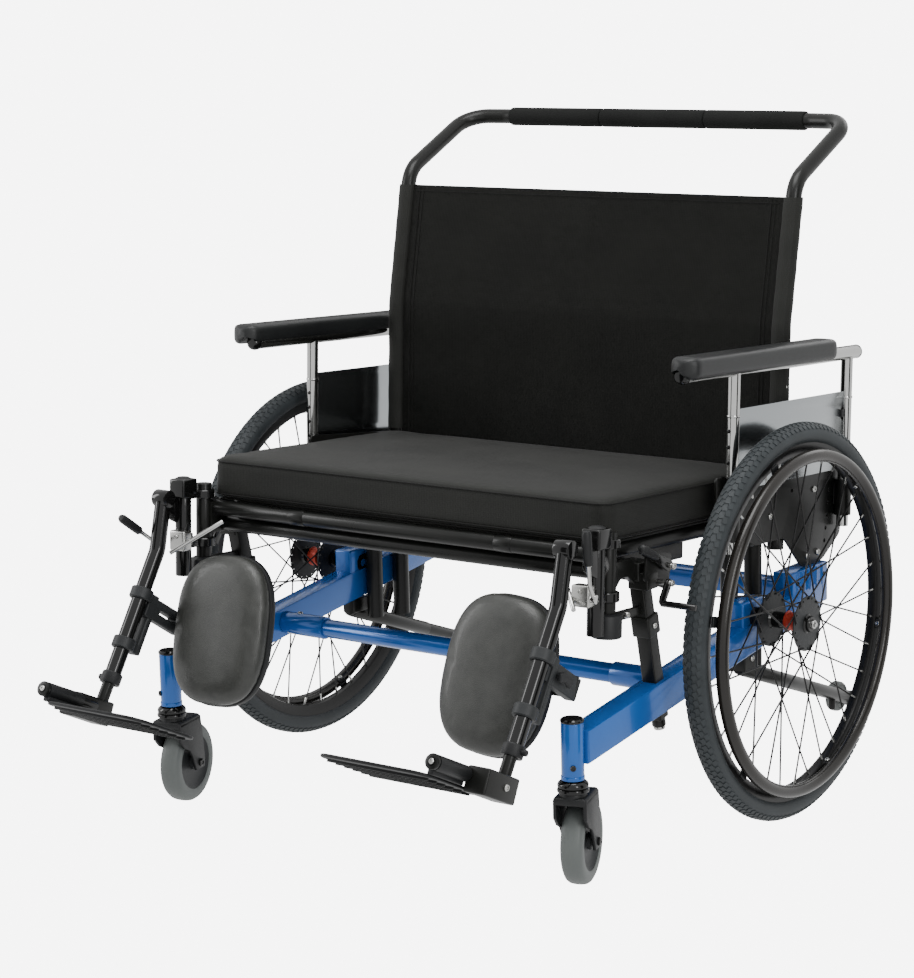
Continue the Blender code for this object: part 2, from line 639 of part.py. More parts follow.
piece("seat_front_tube", seat_front_tube(), seat, "black_paint")
piece("seat_rear_tube", seat_rear_tube(), seat, "black_paint")
piece("seat_pan", seat_pan(), seat, "fabric", smooth=False)
piece("seat_cushion", seat_cushion(), seat, "fabric")
for name, side in SIDES:
    piece(f"seat_rail_{name}", seat_rail(side), seat, "black_paint")
    piece(f"rear_plate_{name}", rear_plate(side), floor, "black_paint")


# ---- back ----------------------------------------------------------------------------------------------------
def lean(w):
    """How far back a cane stands at a height above the seat tubes."""
    return CANE_U + max(0.0, w - CANE_BEND_W) * sin(CANE_LEAN) / cos(CANE_LEAN)


BAR_W = BACK_TOP_W + 0.024
CORNER = in_seat(0.300, 1.030)
BAR = in_seat(0.362, 1.039)


def back_frame():
    half = [(CANE_X, CANE_U, -0.050), (CANE_X, CANE_U, CANE_BEND_W), (CANE_X, lean(BAR_W), BAR_W),
            (CANE_X, CORNER[0] + 0.045, CORNER[1] + 0.012), (GRIP_HALF, BAR[0], BAR[1])]
    route = half + [(-x, u, w) for x, u, w in reversed(half)]
    return tube(route, TUBE, bend=0.050, sides=2)


def push_grip():
    """Foam sleeve with two shallow seams."""
    seam, depth = 0.002, 0.0015
    marks = [-GRIP_HALF + 0.012, -0.1025, 0.1025, GRIP_HALF - 0.012]
    inner = clear(TUBE, 14)
    profile = [(inner, marks[0])]
    for start, end in zip(marks, marks[1:]):
        profile += [(GRIP_RADIUS - depth, start + seam / 2), (GRIP_RADIUS, start + seam * 1.5),
                    (GRIP_RADIUS, end - seam * 1.5), (GRIP_RADIUS - depth, end - seam / 2)]
    profile.append((inner, marks[-1]))
    return turned(profile, (0, BAR[0], BAR[1]), (1, 0, 0), 14, ring=True)


BACK_THICK = 0.010


def back_upholstery():
    """Fabric panel between the canes, with a pocket round each of them."""
    bottom, top, pocket = 0.030, BACK_TOP_W, 0.082
    reach = CANE_X - TUBE - 0.0005
    rows = [bottom, CANE_BEND_W - 0.02, CANE_BEND_W + 0.02, top]
    outline = [(lean(w) - 0.006, w) for w in rows] + [(lean(w) - 0.006 + BACK_THICK, w) for w in reversed(rows)]
    panel = sheet(outline, -reach - 0.010, reach + 0.010)
    solids = [panel]
    cuts = []
    for _, side in SIDES:
        low_route = [(side * CANE_X, CANE_U, pocket), (side * CANE_X, CANE_U, CANE_BEND_W),
                     (side * CANE_X, lean(top), top)]
        solids.append(tube(low_route, TUBE + 0.0030, bend=0.050, sides=2))
        long_route = [(side * CANE_X, CANE_U, bottom - 0.08), (side * CANE_X, CANE_U, CANE_BEND_W),
                      (side * CANE_X, lean(top + 0.06), top + 0.06)]
        cuts.append(tube(long_route, TUBE + 0.0006, bend=0.050, sides=2))
    return fuse(solids, cuts)


piece("back_frame", back_frame(), seat, "black_paint")
piece("push_grip", push_grip(), seat, "foam")
piece("back_upholstery", back_upholstery(), seat, "fabric")


# ---- armrests ------------------------------------------------------------------------------------------------
PAD_FRONT, PAD_REAR = -0.252, 0.188
ARM_PAD_HALF = 0.0235
ARM_PAD_SHIFT = 0.0105          # the pad stands out past the tube, clear of the cane
ARM_PAD_THICK = 0.034


def arm_frame(side):
    top = cylinder((side * ARM_X, ARM_TUBE_FRONT, ARM_W), (side * ARM_X, ARM_TUBE_REAR, ARM_W), ARM_TUBE, 12)
    posts = [cylinder((side * ARM_X, u, -0.030), (side * ARM_X, u, ARM_W), ARM_POST, 12)
             for u in (ARM_FRONT_U, ARM_REAR_U)]
    return fuse([top, *posts])


def arm_pad(side):
    """Moulded pad with a groove underneath for the arm tube."""
    half_u = (PAD_REAR - PAD_FRONT) / 2
    layers = [(0.003, 0.0), (0.0, 0.004), (0.0, ARM_PAD_THICK - 0.012), (0.004, ARM_PAD_THICK - 0.004),
              (0.012, ARM_PAD_THICK)]
    pad = padded_form(rounded_outline(ARM_PAD_HALF, half_u, 0.018), ARM_PAD_HALF, half_u, layers)
    moved(pad, Matrix.Translation((side * (ARM_X + ARM_PAD_SHIFT), (PAD_FRONT + PAD_REAR) / 2, ARM_W - 0.004)))
    groove = cylinder((side * ARM_X, ARM_TUBE_FRONT - 0.001, ARM_W), (side * ARM_X, PAD_REAR + 0.05, ARM_W),
                      ARM_TUBE + GAP, 12)
    slot_half = ARM_TUBE * 0.982
    slot = box((side * ARM_X - slot_half, ARM_TUBE_FRONT - 0.0006, ARM_W - 0.02),
               (side * ARM_X + slot_half, PAD_REAR + 0.06, ARM_W - 0.003))
    return fuse([pad], [groove, slot])


def skirt_panel(side):
    """Bright sheet clipped between the posts."""
    low_u, high_u = ARM_FRONT_U + ARM_POST + GAP, ARM_REAR_U - ARM_POST - GAP
    x = ARM_X - 0.001
    return box((side * x, low_u, 0.064), (side * (x + 0.002), high_u, 0.188))


for name, side in SIDES:
    piece(f"arm_frame_{name}", arm_frame(side), seat, "chrome")
    piece(f"arm_pad_{name}", arm_pad(side), seat, "vinyl")
    piece(f"skirt_panel_{name}", skirt_panel(side), seat, "aluminium", smooth=False)


# ---- wheel locks, measured from the floor --------------------------------------------------------------------
LOCK_X = SEAT_HALF + 0.040
LOCK_PIVOT = (-0.268, 0.438)
SHOE_PIVOT = (-0.290, 0.418)


def brake_lever(side):
    """Hand lever on the pivot bracket."""
    y, z = LOCK_PIVOT
    eye = cylinder((side * (LOCK_X - 0.004), y, z), (side * (LOCK_X + 0.004), y, z), 0.013, 12)
    bar = tube([(side * LOCK_X, y, z), (side * LOCK_X, y - 0.030, z + 0.016), (side * LOCK_X, y - 0.076, z + 0.039)],
               0.0055, bend=0.02, sides=2)
    hole = cylinder((side * (LOCK_X - 0.01), y, z), (side * (LOCK_X + 0.01), y, z), 0.004 + GAP, 12)
    return fuse([eye, bar], [hole])


def brake_shoe(side):
    """Bent arm whose end bar presses on the tyre."""
    y, z = SHOE_PIVOT
    x = LOCK_X + 0.012
    end_y, end_z = -0.3085, 0.392
    eye = cylinder((side * (x - 0.0035), y, z), (side * (x + 0.0035), y, z), 0.011, 12)
    arm = tube([(side * x, y, z), (side * x, end_y, end_z + 0.004), (side * x, end_y, end_z),
                (side * (WHEEL_X + 0.016), end_y, end_z)], 0.0045, sides=2)
    hole = cylinder((side * (x - 0.01), y, z), (side * (x + 0.01), y, z), 0.004 + GAP, 12)
    return fuse([eye, arm], [hole])


def brake_bracket(side):
    """Clamp on the seat post with both pins; it joins the seat post's node."""
    y, z = LOCK_PIVOT
    plate = sheet([(-0.325, 0.425), (-0.262, 0.400), (-0.250, 0.452), (-0.318, 0.470)],
                  side * (LOCK_X - 0.0105), side * (LOCK_X - 0.0062))
    arm = box((side * (BEAM_X - 0.002), -0.318, 0.408), (side * (LOCK_X - 0.006), -0.288, 0.434))
    lever_pin = cylinder((side * (LOCK_X - 0.008), y, z), (side * (LOCK_X + 0.007), y, z), 0.004, 12)
    shoe_pin = cylinder((side * (LOCK_X - 0.008), *SHOE_PIVOT), (side * (LOCK_X + 0.019), *SHOE_PIVOT), 0.004, 12)
    return [plate, arm, lever_pin, shoe_pin]


for name, side in SIDES:
    post = bpy.data.objects[f"seat_post_{name}"]
    solid = fuse([moved(shape_from(bake(post)), Matrix.Translation((0, -AXLE_Y, 0))), *brake_bracket(side)])
    piece(f"seat_post_{name}", solid, floor, "black_paint")
    piece(f"brake_lever_{name}", brake_lever(side), floor, "black_paint", (side * LOCK_X, *LOCK_PIVOT))
    piece(f"brake_shoe_{name}", brake_shoe(side), floor, "black_paint", (side * (LOCK_X + 0.012), *SHOE_PIVOT))


# ---- leg rests -----------------------------------------------------------------------------------------------
LOCK_BODY_W = -0.046
ROD_TAIL = Vector((SEAT_HALF - 0.054, -0.408, -0.014))
ROD_HEAD = Vector((SEAT_HALF + 0.006, -0.4650, -0.0635))
ROD_RADIUS = 0.0035
LEVER_U = -0.455
LEVER_X = HANGER_X + 0.0185
LEVER_TURN = {"left": 0.0, "right": radians(-50.0)}


def hanger(side):
    """Post with two rings on the frame's upright, the leg pivot and the body of the elevation lock."""
    post = cylinder((side * HANGER_X, HANGER_U, -0.105), (side * HANGER_X, HANGER_U, 0.044), TUBE, 12)
    solids, cuts = [post], []
    for low, high in ((0.0155, 0.0285), (-0.062, -0.048)):
        solids.append(cylinder((side * MOUNT_X, MOUNT_U, low), (side * MOUNT_X, MOUNT_U, high), 0.0175, 14))
        solids.append(box((side * (HANGER_X - 0.008), HANGER_U, low), (side * (HANGER_X + 0.007), MOUNT_U - 0.006, high)))
    cuts.append(cylinder((side * MOUNT_X, MOUNT_U, -0.07), (side * MOUNT_X, MOUNT_U, 0.06), TUBE + GAP * 2, 14))
    pivot_u, pivot_w = LEG_PIVOT
    cheek = sheet([(pivot_u - 0.015, pivot_w - 0.010), (pivot_u - 0.015, pivot_w + 0.026), (HANGER_U, pivot_w + 0.026),
                   (HANGER_U, pivot_w - 0.010)], side * (LEG_X + 0.0155), side * (LEG_X + 0.0215))
    bridge = box((side * (LEG_X - 0.010), HANGER_U - 0.011, pivot_w - 0.006),
                 (side * (LEG_X + 0.020), HANGER_U + 0.011, pivot_w + 0.026))
    pin = cylinder((side * (LEG_X - 0.018), pivot_u, pivot_w), (side * (LEG_X + 0.024), pivot_u, pivot_w), 0.0045, 14)
    body = box((side * (LEG_X - 0.012), -0.450, LOCK_BODY_W - 0.016), (side * (HANGER_X + 0.006), -0.430, LOCK_BODY_W + 0.016))
    lug = box((side * (HANGER_X + 0.002), LEVER_U - 0.008, LOCK_BODY_W - 0.008),
              (side * (HANGER_X + 0.010), HANGER_U, LOCK_BODY_W + 0.008))
    lever_pin = cylinder((side * (HANGER_X + 0.004), LEVER_U, LOCK_BODY_W), (side * (LEVER_X + 0.006), LEVER_U, LOCK_BODY_W),
                         0.003, 12)
    flip = Vector((side, 1, 1))
    rod_way = cylinder(ROD_TAIL * flip, ROD_HEAD * flip, ROD_RADIUS + GAP * 2, 12)
    return fuse([*solids, cheek, bridge, pin, body, lug, lever_pin], [*cuts, rod_way])


def leg_tube(side):
    """Pivot eye, short straight run, bend and the long slanted tube with its clamp collar, in the leg's frame."""
    turn = Matrix.Rotation(LEG_ANGLE, 4, "X")
    top = turn @ (Vector((0, LEG_PIVOT[0], LEG_PIVOT[1])) - Vector((0, LEG_BEND[0], LEG_BEND[1])))
    run = tube([top, (0, 0, 0), (0, 0, -LEG_LENGTH)], TUBE, bend=0.040, sides=2)
    eye = cylinder(top + Vector((-0.0131, 0, 0)), top + Vector((0.0131, 0, 0)), 0.0137, 12)
    collar = cylinder((0, 0, -LEG_LENGTH + 0.008), (0, 0, -LEG_LENGTH - 0.010), TUBE + 0.0035, 12)
    knob = cylinder((0, 0.008, -LEG_LENGTH), (0, 0.034, -LEG_LENGTH), 0.007, 14)
    hole = cylinder(top + Vector((-0.02, 0, 0)), top + Vector((0.02, 0, 0)), 0.0045 + GAP, 14)
    bore = cylinder((0, 0, -0.085), (0, 0, -LEG_LENGTH - 0.03), clear(FOOT_TUBE), 12)
    return fuse([run, eye, collar, knob], [hole, bore])


def elevation_rod(side):
    flip = Vector((side, 1, 1))
    rod = cylinder(ROD_TAIL * flip, ROD_HEAD * flip, ROD_RADIUS, 12)
    nut = cylinder(ROD_TAIL * flip, (ROD_TAIL + (ROD_HEAD - ROD_TAIL) * 0.10) * flip, ROD_RADIUS + 0.002, 12)
    return fuse([rod, nut])


def release_lever(side):
    """Chrome lever with a moulded grip, pivoting on the lock."""
    x = side * LEVER_X
    eye = cylinder((x - 0.003, 0, 0), (x + 0.003, 0, 0), 0.008, 12)
    shaft = tube([(x, 0, 0), (x, -0.012, 0.020), (x, -0.020, 0.075)], 0.003, bend=0.015)
    grip = cylinder((x, -0.0165, 0.050), (x, -0.0235, 0.100), 0.0068, 14)
    hole = cylinder((x - 0.01, 0, 0), (x + 0.01, 0, 0), 0.003 + GAP, 12)
    return fuse([eye, shaft, grip], [hole])


CALF_LOW, CALF_HIGH = -0.165, -0.065
CALF_PAD_X = -0.1155            # middle of the pad, inwards from the leg tube
CALF_PAD_THICK = 0.045
calf_place = Matrix.Translation((0, 0.090, -0.086)) @ Matrix.Rotation(radians(15), 4, "X")


def calf_bracket(side):
    """Clamp round the leg tube with its clamp knob and the arm behind the pad."""
    clamp = box((-0.0175, -0.0165, CALF_LOW), (0.0175, 0.0215, CALF_HIGH), 0.004)
    knob = cylinder((side * 0.012, 0.012, -0.115), (side * 0.032, 0.020, -0.115), 0.0125, 12)
    reach = box((side * -0.012, 0.010, -0.104), (side * 0.006, 0.1035, -0.070), 0.002)
    back = moved(box((side * -0.150, 0.0005, -0.0165), (side * 0.0045, 0.0085, 0.0165), 0.002), calf_place)
    hole = cylinder((0, 0, CALF_LOW - 0.02), (0, 0, CALF_HIGH + 0.02), clear(TUBE), 12)
    return fuse([clamp, knob, reach, back], [hole])


def calf_pad(side):
    """Oval padded board: a coarse crowned form in layers."""
    half_x, half_z = PAD_WIDTH / 2, PAD_LENGTH / 2
    outline = []
    for i in range(28):
        a = 2 * pi * i / 28
        outline.append((half_x * abs(cos(a)) ** 0.72 * (1 if cos(a) >= 0 else -1),
                        half_z * abs(sin(a)) ** 0.84 * (1 if sin(a) >= 0 else -1)))
    layers = [(0.006, 0.0), (0.0, 0.005), (0.0, CALF_PAD_THICK - 0.016), (0.006, CALF_PAD_THICK - 0.006),
              (0.024, CALF_PAD_THICK)]
    upright = Matrix.Translation((side * CALF_PAD_X, 0, 0)) @ Matrix.Rotation(pi / 2, 4, "X")
    return moved(padded_form(outline, half_x, half_z, layers), calf_place @ upright)


HINGE_X = -0.017
HINGE_RADIUS = 0.0115
HINGE_Z = 0.012
PLATE_TOP = -0.004


def foot_tube(side):
    """Inner tube of the leg, the bracket at its foot and the bar that the footplate hinges on."""
    turn = Matrix.Rotation(-FOOT_PITCH, 4, "X")
    inner_top = turn @ Vector((0, 0, FOOT_DROP - 0.098))
    inner = cylinder(inner_top, (0, 0, -0.004), FOOT_TUBE, 12)
    bracket = box((side * 0.020, -0.066, -0.012), (side * HINGE_X, 0.013, 0.026), 0.003)
    bar = cylinder((side * HINGE_X, -0.030, HINGE_Z), (side * HINGE_X, -0.150, HINGE_Z), 0.0075, 14)
    cap = cylinder((side * HINGE_X, -0.1425, HINGE_Z), (side * HINGE_X, -0.150, HINGE_Z), HINGE_RADIUS, 14)
    return fuse([inner, bracket, bar, cap])


def footplate(side):
    """Flip-up plate with ribs below and the sleeve that turns on the bar."""
    sleeve = cylinder((side * HINGE_X, -0.0665 - GAP, HINGE_Z), (side * HINGE_X, -0.1422, HINGE_Z), HINGE_RADIUS, 14)
    corner = 0.028
    far, near = -FOOTPLATE_LENGTH - 0.006, -0.002
    low_x, high_x = HINGE_X - FOOTPLATE_WIDTH + 0.030, HINGE_X - 0.0035
    outline = []
    for cx, cy, start in ((high_x - 0.004, far + 0.004, -90), (high_x - 0.004, near - 0.004, 0),
                          (low_x + corner, near - corner, 90), (low_x + corner, far + corner, 180)):
        radius = 0.004 if cx > 0 or cx > low_x + corner + 0.01 else corner
        for i in range(5):
            a = radians(start + 22.5 * i)
            outline.append((side * (cx + radius * cos(a)), cy + radius * sin(a)))
    board = slab(outline, PLATE_TOP - 0.005, PLATE_TOP)
    ribs = [box((side * (low_x + 0.012), far + 0.016 + i * 0.022, PLATE_TOP - 0.014),
                (side * (high_x - 0.002), far + 0.020 + i * 0.022, PLATE_TOP - 0.0025)) for i in range(6)]
    edge = box((side * (high_x - 0.006), far + 0.0045, PLATE_TOP - 0.0135),
               (side * (high_x - 0.0008), near - 0.0045, PLATE_TOP - 0.0015))
    web = box((side * (HINGE_X - 0.010), -0.0685, PLATE_TOP - 0.003), (side * (HINGE_X - 0.001), -0.1412, HINGE_Z))
    outer = box((side * (HINGE_X - 0.0085), -0.149, PLATE_TOP - 0.0085), (side * 0.014, -0.081, PLATE_TOP + 0.0005), 0.002)
    hole = cylinder((side * HINGE_X, 0.01, HINGE_Z), (side * HINGE_X, -0.17, HINGE_Z), 0.0075 + GAP, 14)
    return fuse([board, *ribs, edge, web, outer, sleeve], [hole])


for name, side in SIDES:
    leg = frame_at(f"leg_frame_{name}", seat, (side * LEG_X, *LEG_BEND), -LEG_ANGLE)
    foot = frame_at(f"foot_frame_{name}", leg, (0, 0, -FOOT_DROP), FOOT_PITCH)
    lever = frame_at(f"lever_frame_{name}", seat, (0, LEVER_U, LOCK_BODY_W), -LEVER_TURN[name])
    piece(f"legrest_hanger_{name}", hanger(side), seat, "black_paint", (side * MOUNT_X, MOUNT_U, 0))
    piece(f"leg_tube_{name}", leg_tube(side), leg, "black_paint")
    piece(f"elevation_rod_{name}", elevation_rod(side), seat, "chrome")
    piece(f"release_lever_{name}", release_lever(side), lever, "chrome")
    piece(f"calf_bracket_{name}", calf_bracket(side), leg, "black_plastic")
    piece(f"calf_pad_{name}", calf_pad(side), leg, "vinyl")
    piece(f"foot_tube_{name}", foot_tube(side), foot, "black_plastic")
    piece(f"footplate_{name}", footplate(side), foot, "black_plastic", (side * HINGE_X, 0, HINGE_Z))
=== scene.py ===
# %% [markdown]
# A wide manual wheelchair is built here, piece by piece, round a fixed frame of plain solids.
# The frame gives every place and every joint. Each plain solid is then swapped for a finer piece with its real shape
# and its own finish. Lengths are in metres and angles in degrees.

# %% Load the frame
import json
from math import cos, pi, radians, sin, sqrt, tan

import bmesh
import bpy
from mathutils import Matrix, Vector

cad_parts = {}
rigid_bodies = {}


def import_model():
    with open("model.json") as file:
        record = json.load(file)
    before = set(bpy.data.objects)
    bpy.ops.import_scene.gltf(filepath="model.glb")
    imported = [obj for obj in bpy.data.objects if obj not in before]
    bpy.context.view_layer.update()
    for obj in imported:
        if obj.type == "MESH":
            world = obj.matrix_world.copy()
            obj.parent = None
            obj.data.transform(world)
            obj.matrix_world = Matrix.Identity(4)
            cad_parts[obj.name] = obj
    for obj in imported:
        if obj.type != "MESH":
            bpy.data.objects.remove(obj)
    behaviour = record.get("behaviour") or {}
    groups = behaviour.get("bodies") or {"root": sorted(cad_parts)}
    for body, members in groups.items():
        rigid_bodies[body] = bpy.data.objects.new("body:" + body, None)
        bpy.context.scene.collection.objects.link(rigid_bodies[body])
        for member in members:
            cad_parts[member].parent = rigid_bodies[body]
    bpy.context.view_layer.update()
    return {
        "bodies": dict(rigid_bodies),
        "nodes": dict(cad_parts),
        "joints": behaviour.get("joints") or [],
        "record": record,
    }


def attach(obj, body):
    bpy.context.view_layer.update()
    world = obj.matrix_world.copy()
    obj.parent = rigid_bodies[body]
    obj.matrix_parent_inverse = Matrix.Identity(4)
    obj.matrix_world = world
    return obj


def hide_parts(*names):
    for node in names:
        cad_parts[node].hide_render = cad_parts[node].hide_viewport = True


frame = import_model()
print("frame nodes:", len(frame["nodes"]))

# %% [markdown]
# The chair has two sides that mirror each other, and some of its parts stand in tilted frames: the seat falls towards
# the back, the leg rests hang at an angle, and the footplates tip up. A matrix for each frame lets every piece be
# drawn in its own simple coordinates, as a maker would draw it flat on a bench, and then be placed.

# %% Sizes and frames
AXLE_Y = 0.206
SEAT_HALF = 0.372
SEAT_HEIGHT, SEAT_FALL = 0.445, 3.3
LEG_SLOPE, FOOT_TILT, CALF_TILT = 29.7, 7, 15
WHEEL_X, WHEEL_R = SEAT_HALF + 0.094, 0.305
BEAM_X, CASTER_X, RAIL_X = SEAT_HALF + 0.010, SEAT_HALF + 0.007, SEAT_HALF - 0.026
PLATE_X, ARM_X = SEAT_HALF + 0.0175, SEAT_HALF + 0.032
MOUNT_X, HANGER_X, LEG_X, LOCK_X = SEAT_HALF + 0.008, SEAT_HALF + 0.015, SEAT_HALF + 0.002, SEAT_HALF + 0.040
MOUNT_U, HANGER_U = -0.382, -0.4227
TUBE = 0.0125

BASE = Matrix.Translation((0, AXLE_Y, 0))
SEAT = Matrix.Translation((0, AXLE_Y, SEAT_HEIGHT)) @ Matrix.Rotation(-radians(SEAT_FALL), 4, "X")
LEG = SEAT @ Matrix.Translation((LEG_X, -0.4978, -0.0538)) @ Matrix.Rotation(-radians(LEG_SLOPE), 4, "X")
FOOT = LEG @ Matrix.Translation((0, 0, -0.275)) @ Matrix.Rotation(radians(FOOT_TILT), 4, "X")
CALF = LEG @ Matrix.Translation((0, 0.090, -0.086)) @ Matrix.Rotation(radians(CALF_TILT), 4, "X")
ACROSS = Matrix.Rotation(pi / 2, 4, "Y")
SIDES = {"left": Matrix(), "right": Matrix.Scale(-1, 4, (1, 0, 0))}
print(f"seat falls {SEAT_FALL} degrees to the back")

# %% [markdown]
# The camera stands to the front and side of the chair, a little above it, with a long lens that keeps the near wheel
# from looking too large. Its turn is built from three directions: backwards out of the lens, right and up.

# %% Camera
def look_from(azimuth, rise, roll, place, lens):
    """A camera from its heading, its height angle and its roll."""
    back = Vector((sin(azimuth) * cos(rise), -cos(azimuth) * cos(rise), sin(rise)))
    level = Vector((cos(azimuth), sin(azimuth), 0))
    above = back.cross(level)
    right = level * cos(roll) + above * sin(roll)
    up = above * cos(roll) - level * sin(roll)
    data = bpy.data.cameras.new("camera")
    data.lens = lens
    data.shift_x, data.shift_y = -0.0022, -0.0005
    camera = bpy.data.objects.new("camera", data)
    camera.matrix_world = Matrix.Translation(place) @ Matrix((right, up, back)).transposed().to_4x4()
    bpy.context.scene.collection.objects.link(camera)
    bpy.context.scene.camera = camera
    return camera


look_from(0.6324401, 0.1893074, -0.0235892, (2.4324, -3.53515 + AXLE_Y, 1.29257), 99.774)
print("camera placed")

# %% [markdown]
# Light comes from soft boxes, as in a catalogue studio: one overhead, a tall narrow one on each side and a weak one
# behind, so that chrome and gloss black show long clean highlights. Black cards beside the set put the dark streaks
# into the chrome that make it look like metal.

# %% Studio
def soft_box(name, place, aim, width, height, power):
    data = bpy.data.lights.new(name, "AREA")
    data.shape = "RECTANGLE"
    data.size, data.size_y, data.energy = width, height, power
    lamp = bpy.data.objects.new(name, data)
    lamp.location = place
    lamp.rotation_euler = (Vector(aim) - Vector(place)).to_track_quat("-Z", "Y").to_euler()
    bpy.context.scene.collection.objects.link(lamp)


soft_box("over", (0.3, -0.4, 3.0), (0, 0, 0.4), 1.6, 1.6, 62)
soft_box("near_side", (3.2, -1.6, 1.9), (0, 0, 0.5), 0.7, 2.2, 48)
soft_box("far_side", (-3.0, -1.8, 1.7), (0, 0, 0.5), 0.7, 2.2, 42)
soft_box("behind", (0.2, 3.4, 2.2), (0, 0, 0.6), 2.0, 1.0, 10)
world = bpy.data.worlds.new("studio")
world.use_nodes = True
world.node_tree.nodes["Background"].inputs["Color"].default_value = (1.0, 1.0, 1.0, 1.0)
world.node_tree.nodes["Background"].inputs["Strength"].default_value = 1.25
bpy.context.scene.world = world


def black_flag(name, place, aim, width, height):
    """A black card beside the set: it only shows as a dark streak in shiny metal and paint."""
    bm = bmesh.new()
    bmesh.ops.create_grid(bm, x_segments=1, y_segments=1, size=0.5)
    bm.transform(Matrix.Diagonal((width, height, 1, 1)))
    mesh = bpy.data.meshes.new(name)
    bm.to_mesh(mesh)
    bm.free()
    card = bpy.data.objects.new(name, mesh)
    way = (Vector(aim) - Vector(place)).to_track_quat("-Z", "Y")
    card.matrix_world = Matrix.Translation(place) @ way.to_matrix().to_4x4()
    felt = bpy.data.materials.get("black_felt") or bpy.data.materials.new("black_felt")
    felt.use_nodes = True
    felt.node_tree.nodes["Principled BSDF"].inputs["Base Color"].default_value = (0.004, 0.004, 0.004, 1)
    felt.node_tree.nodes["Principled BSDF"].inputs["Roughness"].default_value = 1.0
    mesh.materials.append(felt)
    bpy.context.scene.collection.objects.link(card)
    card.visible_camera = card.visible_diffuse = card.visible_shadow = False


black_flag("flag_near", (2.9, 0.35, 0.9), (0, 0, 0.6), 1.1, 3.0)
black_flag("flag_front", (-0.75, -3.1, 0.8), (0, 0, 0.6), 1.0, 3.0)
black_flag("flag_back", (-2.6, 3.6, 1.1), (0, 0, 0.5), 3.4, 1.9)

# %% [markdown]
# Every finish is a small tree of nodes on object coordinates, so a pattern stays fixed to its piece in every view.
# One helper does the common part: two near colours mixed by a soft noise, a roughness that wanders with it, and a
# bump from a pattern. The patterns are a fine grain, a leather grain of closed cells, a cloth weave of crossed
# threads and the long scratches of brushed metal. Each finish then only states its own numbers.

# %% Finish helper
def pattern_of(kind, tree, where, scale):
    """A height pattern on the piece: grain, leather, weave or brushed."""
    nodes, links = tree.nodes, tree.links
    if kind == "leather":
        cells = nodes.new("ShaderNodeTexVoronoi")
        cells.feature = "DISTANCE_TO_EDGE"
        cells.inputs["Scale"].default_value = scale
        links.new(where, cells.inputs["Vector"])
        return cells.outputs["Distance"]
    if kind == "weave":
        total = None
        for axis in "XYZ":
            threads = nodes.new("ShaderNodeTexWave")
            threads.bands_direction = axis
            threads.inputs["Scale"].default_value = scale
            links.new(where, threads.inputs["Vector"])
            if total is None:
                total = threads.outputs["Fac"]
            else:
                both = nodes.new("ShaderNodeMath")
                both.operation = "MULTIPLY_ADD"
                both.inputs[1].default_value = 0.5
                links.new(threads.outputs["Fac"], both.inputs[0])
                links.new(total, both.inputs[2])
                total = both.outputs[0]
        return total
    grain = nodes.new("ShaderNodeTexNoise")
    grain.inputs["Scale"].default_value = scale
    grain.inputs["Detail"].default_value = 3.0
    links.new(where, grain.inputs["Vector"])
    return grain.outputs["Fac"]


def finish_of(name, dark, light, rough, metal=0.0, kind="grain", scale=900.0, bump=0.05, cloud=9.0,
              stretch=(1, 1, 1), coat=0.0, sheen=0.0, spread=0.08, shine=0.5):
    """A finish: colours, roughness, metal, and the pattern that its bump follows."""
    mat = bpy.data.materials.new(name)
    mat.use_nodes = True
    tree = mat.node_tree
    nodes, links = tree.nodes, tree.links
    shader = nodes["Principled BSDF"]
    shader.inputs["Metallic"].default_value = metal
    shader.inputs["Specular IOR Level"].default_value = shine
    shader.inputs["Coat Weight"].default_value = coat
    shader.inputs["Coat Roughness"].default_value = 0.08
    shader.inputs["Sheen Weight"].default_value = sheen
    shader.inputs["Sheen Roughness"].default_value = 0.4
    place = nodes.new("ShaderNodeTexCoord")
    turn = nodes.new("ShaderNodeMapping")
    turn.inputs["Scale"].default_value = stretch
    links.new(place.outputs["Object"], turn.inputs["Vector"])
    where = turn.outputs["Vector"]
    drift = nodes.new("ShaderNodeTexNoise")
    drift.inputs["Scale"].default_value = cloud
    drift.inputs["Detail"].default_value = 4.0
    links.new(where, drift.inputs["Vector"])
    tint = nodes.new("ShaderNodeValToRGB")
    tint.color_ramp.elements[0].position, tint.color_ramp.elements[1].position = 0.3, 0.72
    tint.color_ramp.elements[0].color = (*dark, 1)
    tint.color_ramp.elements[1].color = (*light, 1)
    links.new(drift.outputs["Fac"], tint.inputs["Fac"])
    links.new(tint.outputs["Color"], shader.inputs["Base Color"])
    wander = nodes.new("ShaderNodeMapRange")
    wander.inputs["To Min"].default_value = max(0.02, rough - spread)
    wander.inputs["To Max"].default_value = rough + spread
    height = pattern_of(kind, tree, where, scale)
    links.new(drift.outputs["Fac"], wander.inputs["Value"])
    links.new(wander.outputs["Result"], shader.inputs["Roughness"])
    relief = nodes.new("ShaderNodeBump")
    relief.inputs["Strength"].default_value = bump
    relief.inputs["Distance"].default_value = 0.0006
    links.new(height, relief.inputs["Height"])
    links.new(relief.outputs["Normal"], shader.inputs["Normal"])
    mat.diffuse_color = (*light, 1)
    return mat


# %% [markdown]
# The finishes of this chair, in the order a maker would list them: painted base, black lacquered seat frame, chrome
# arm posts, polished side panels, rubber of the tyres, moulded plastics, and the soft coverings.

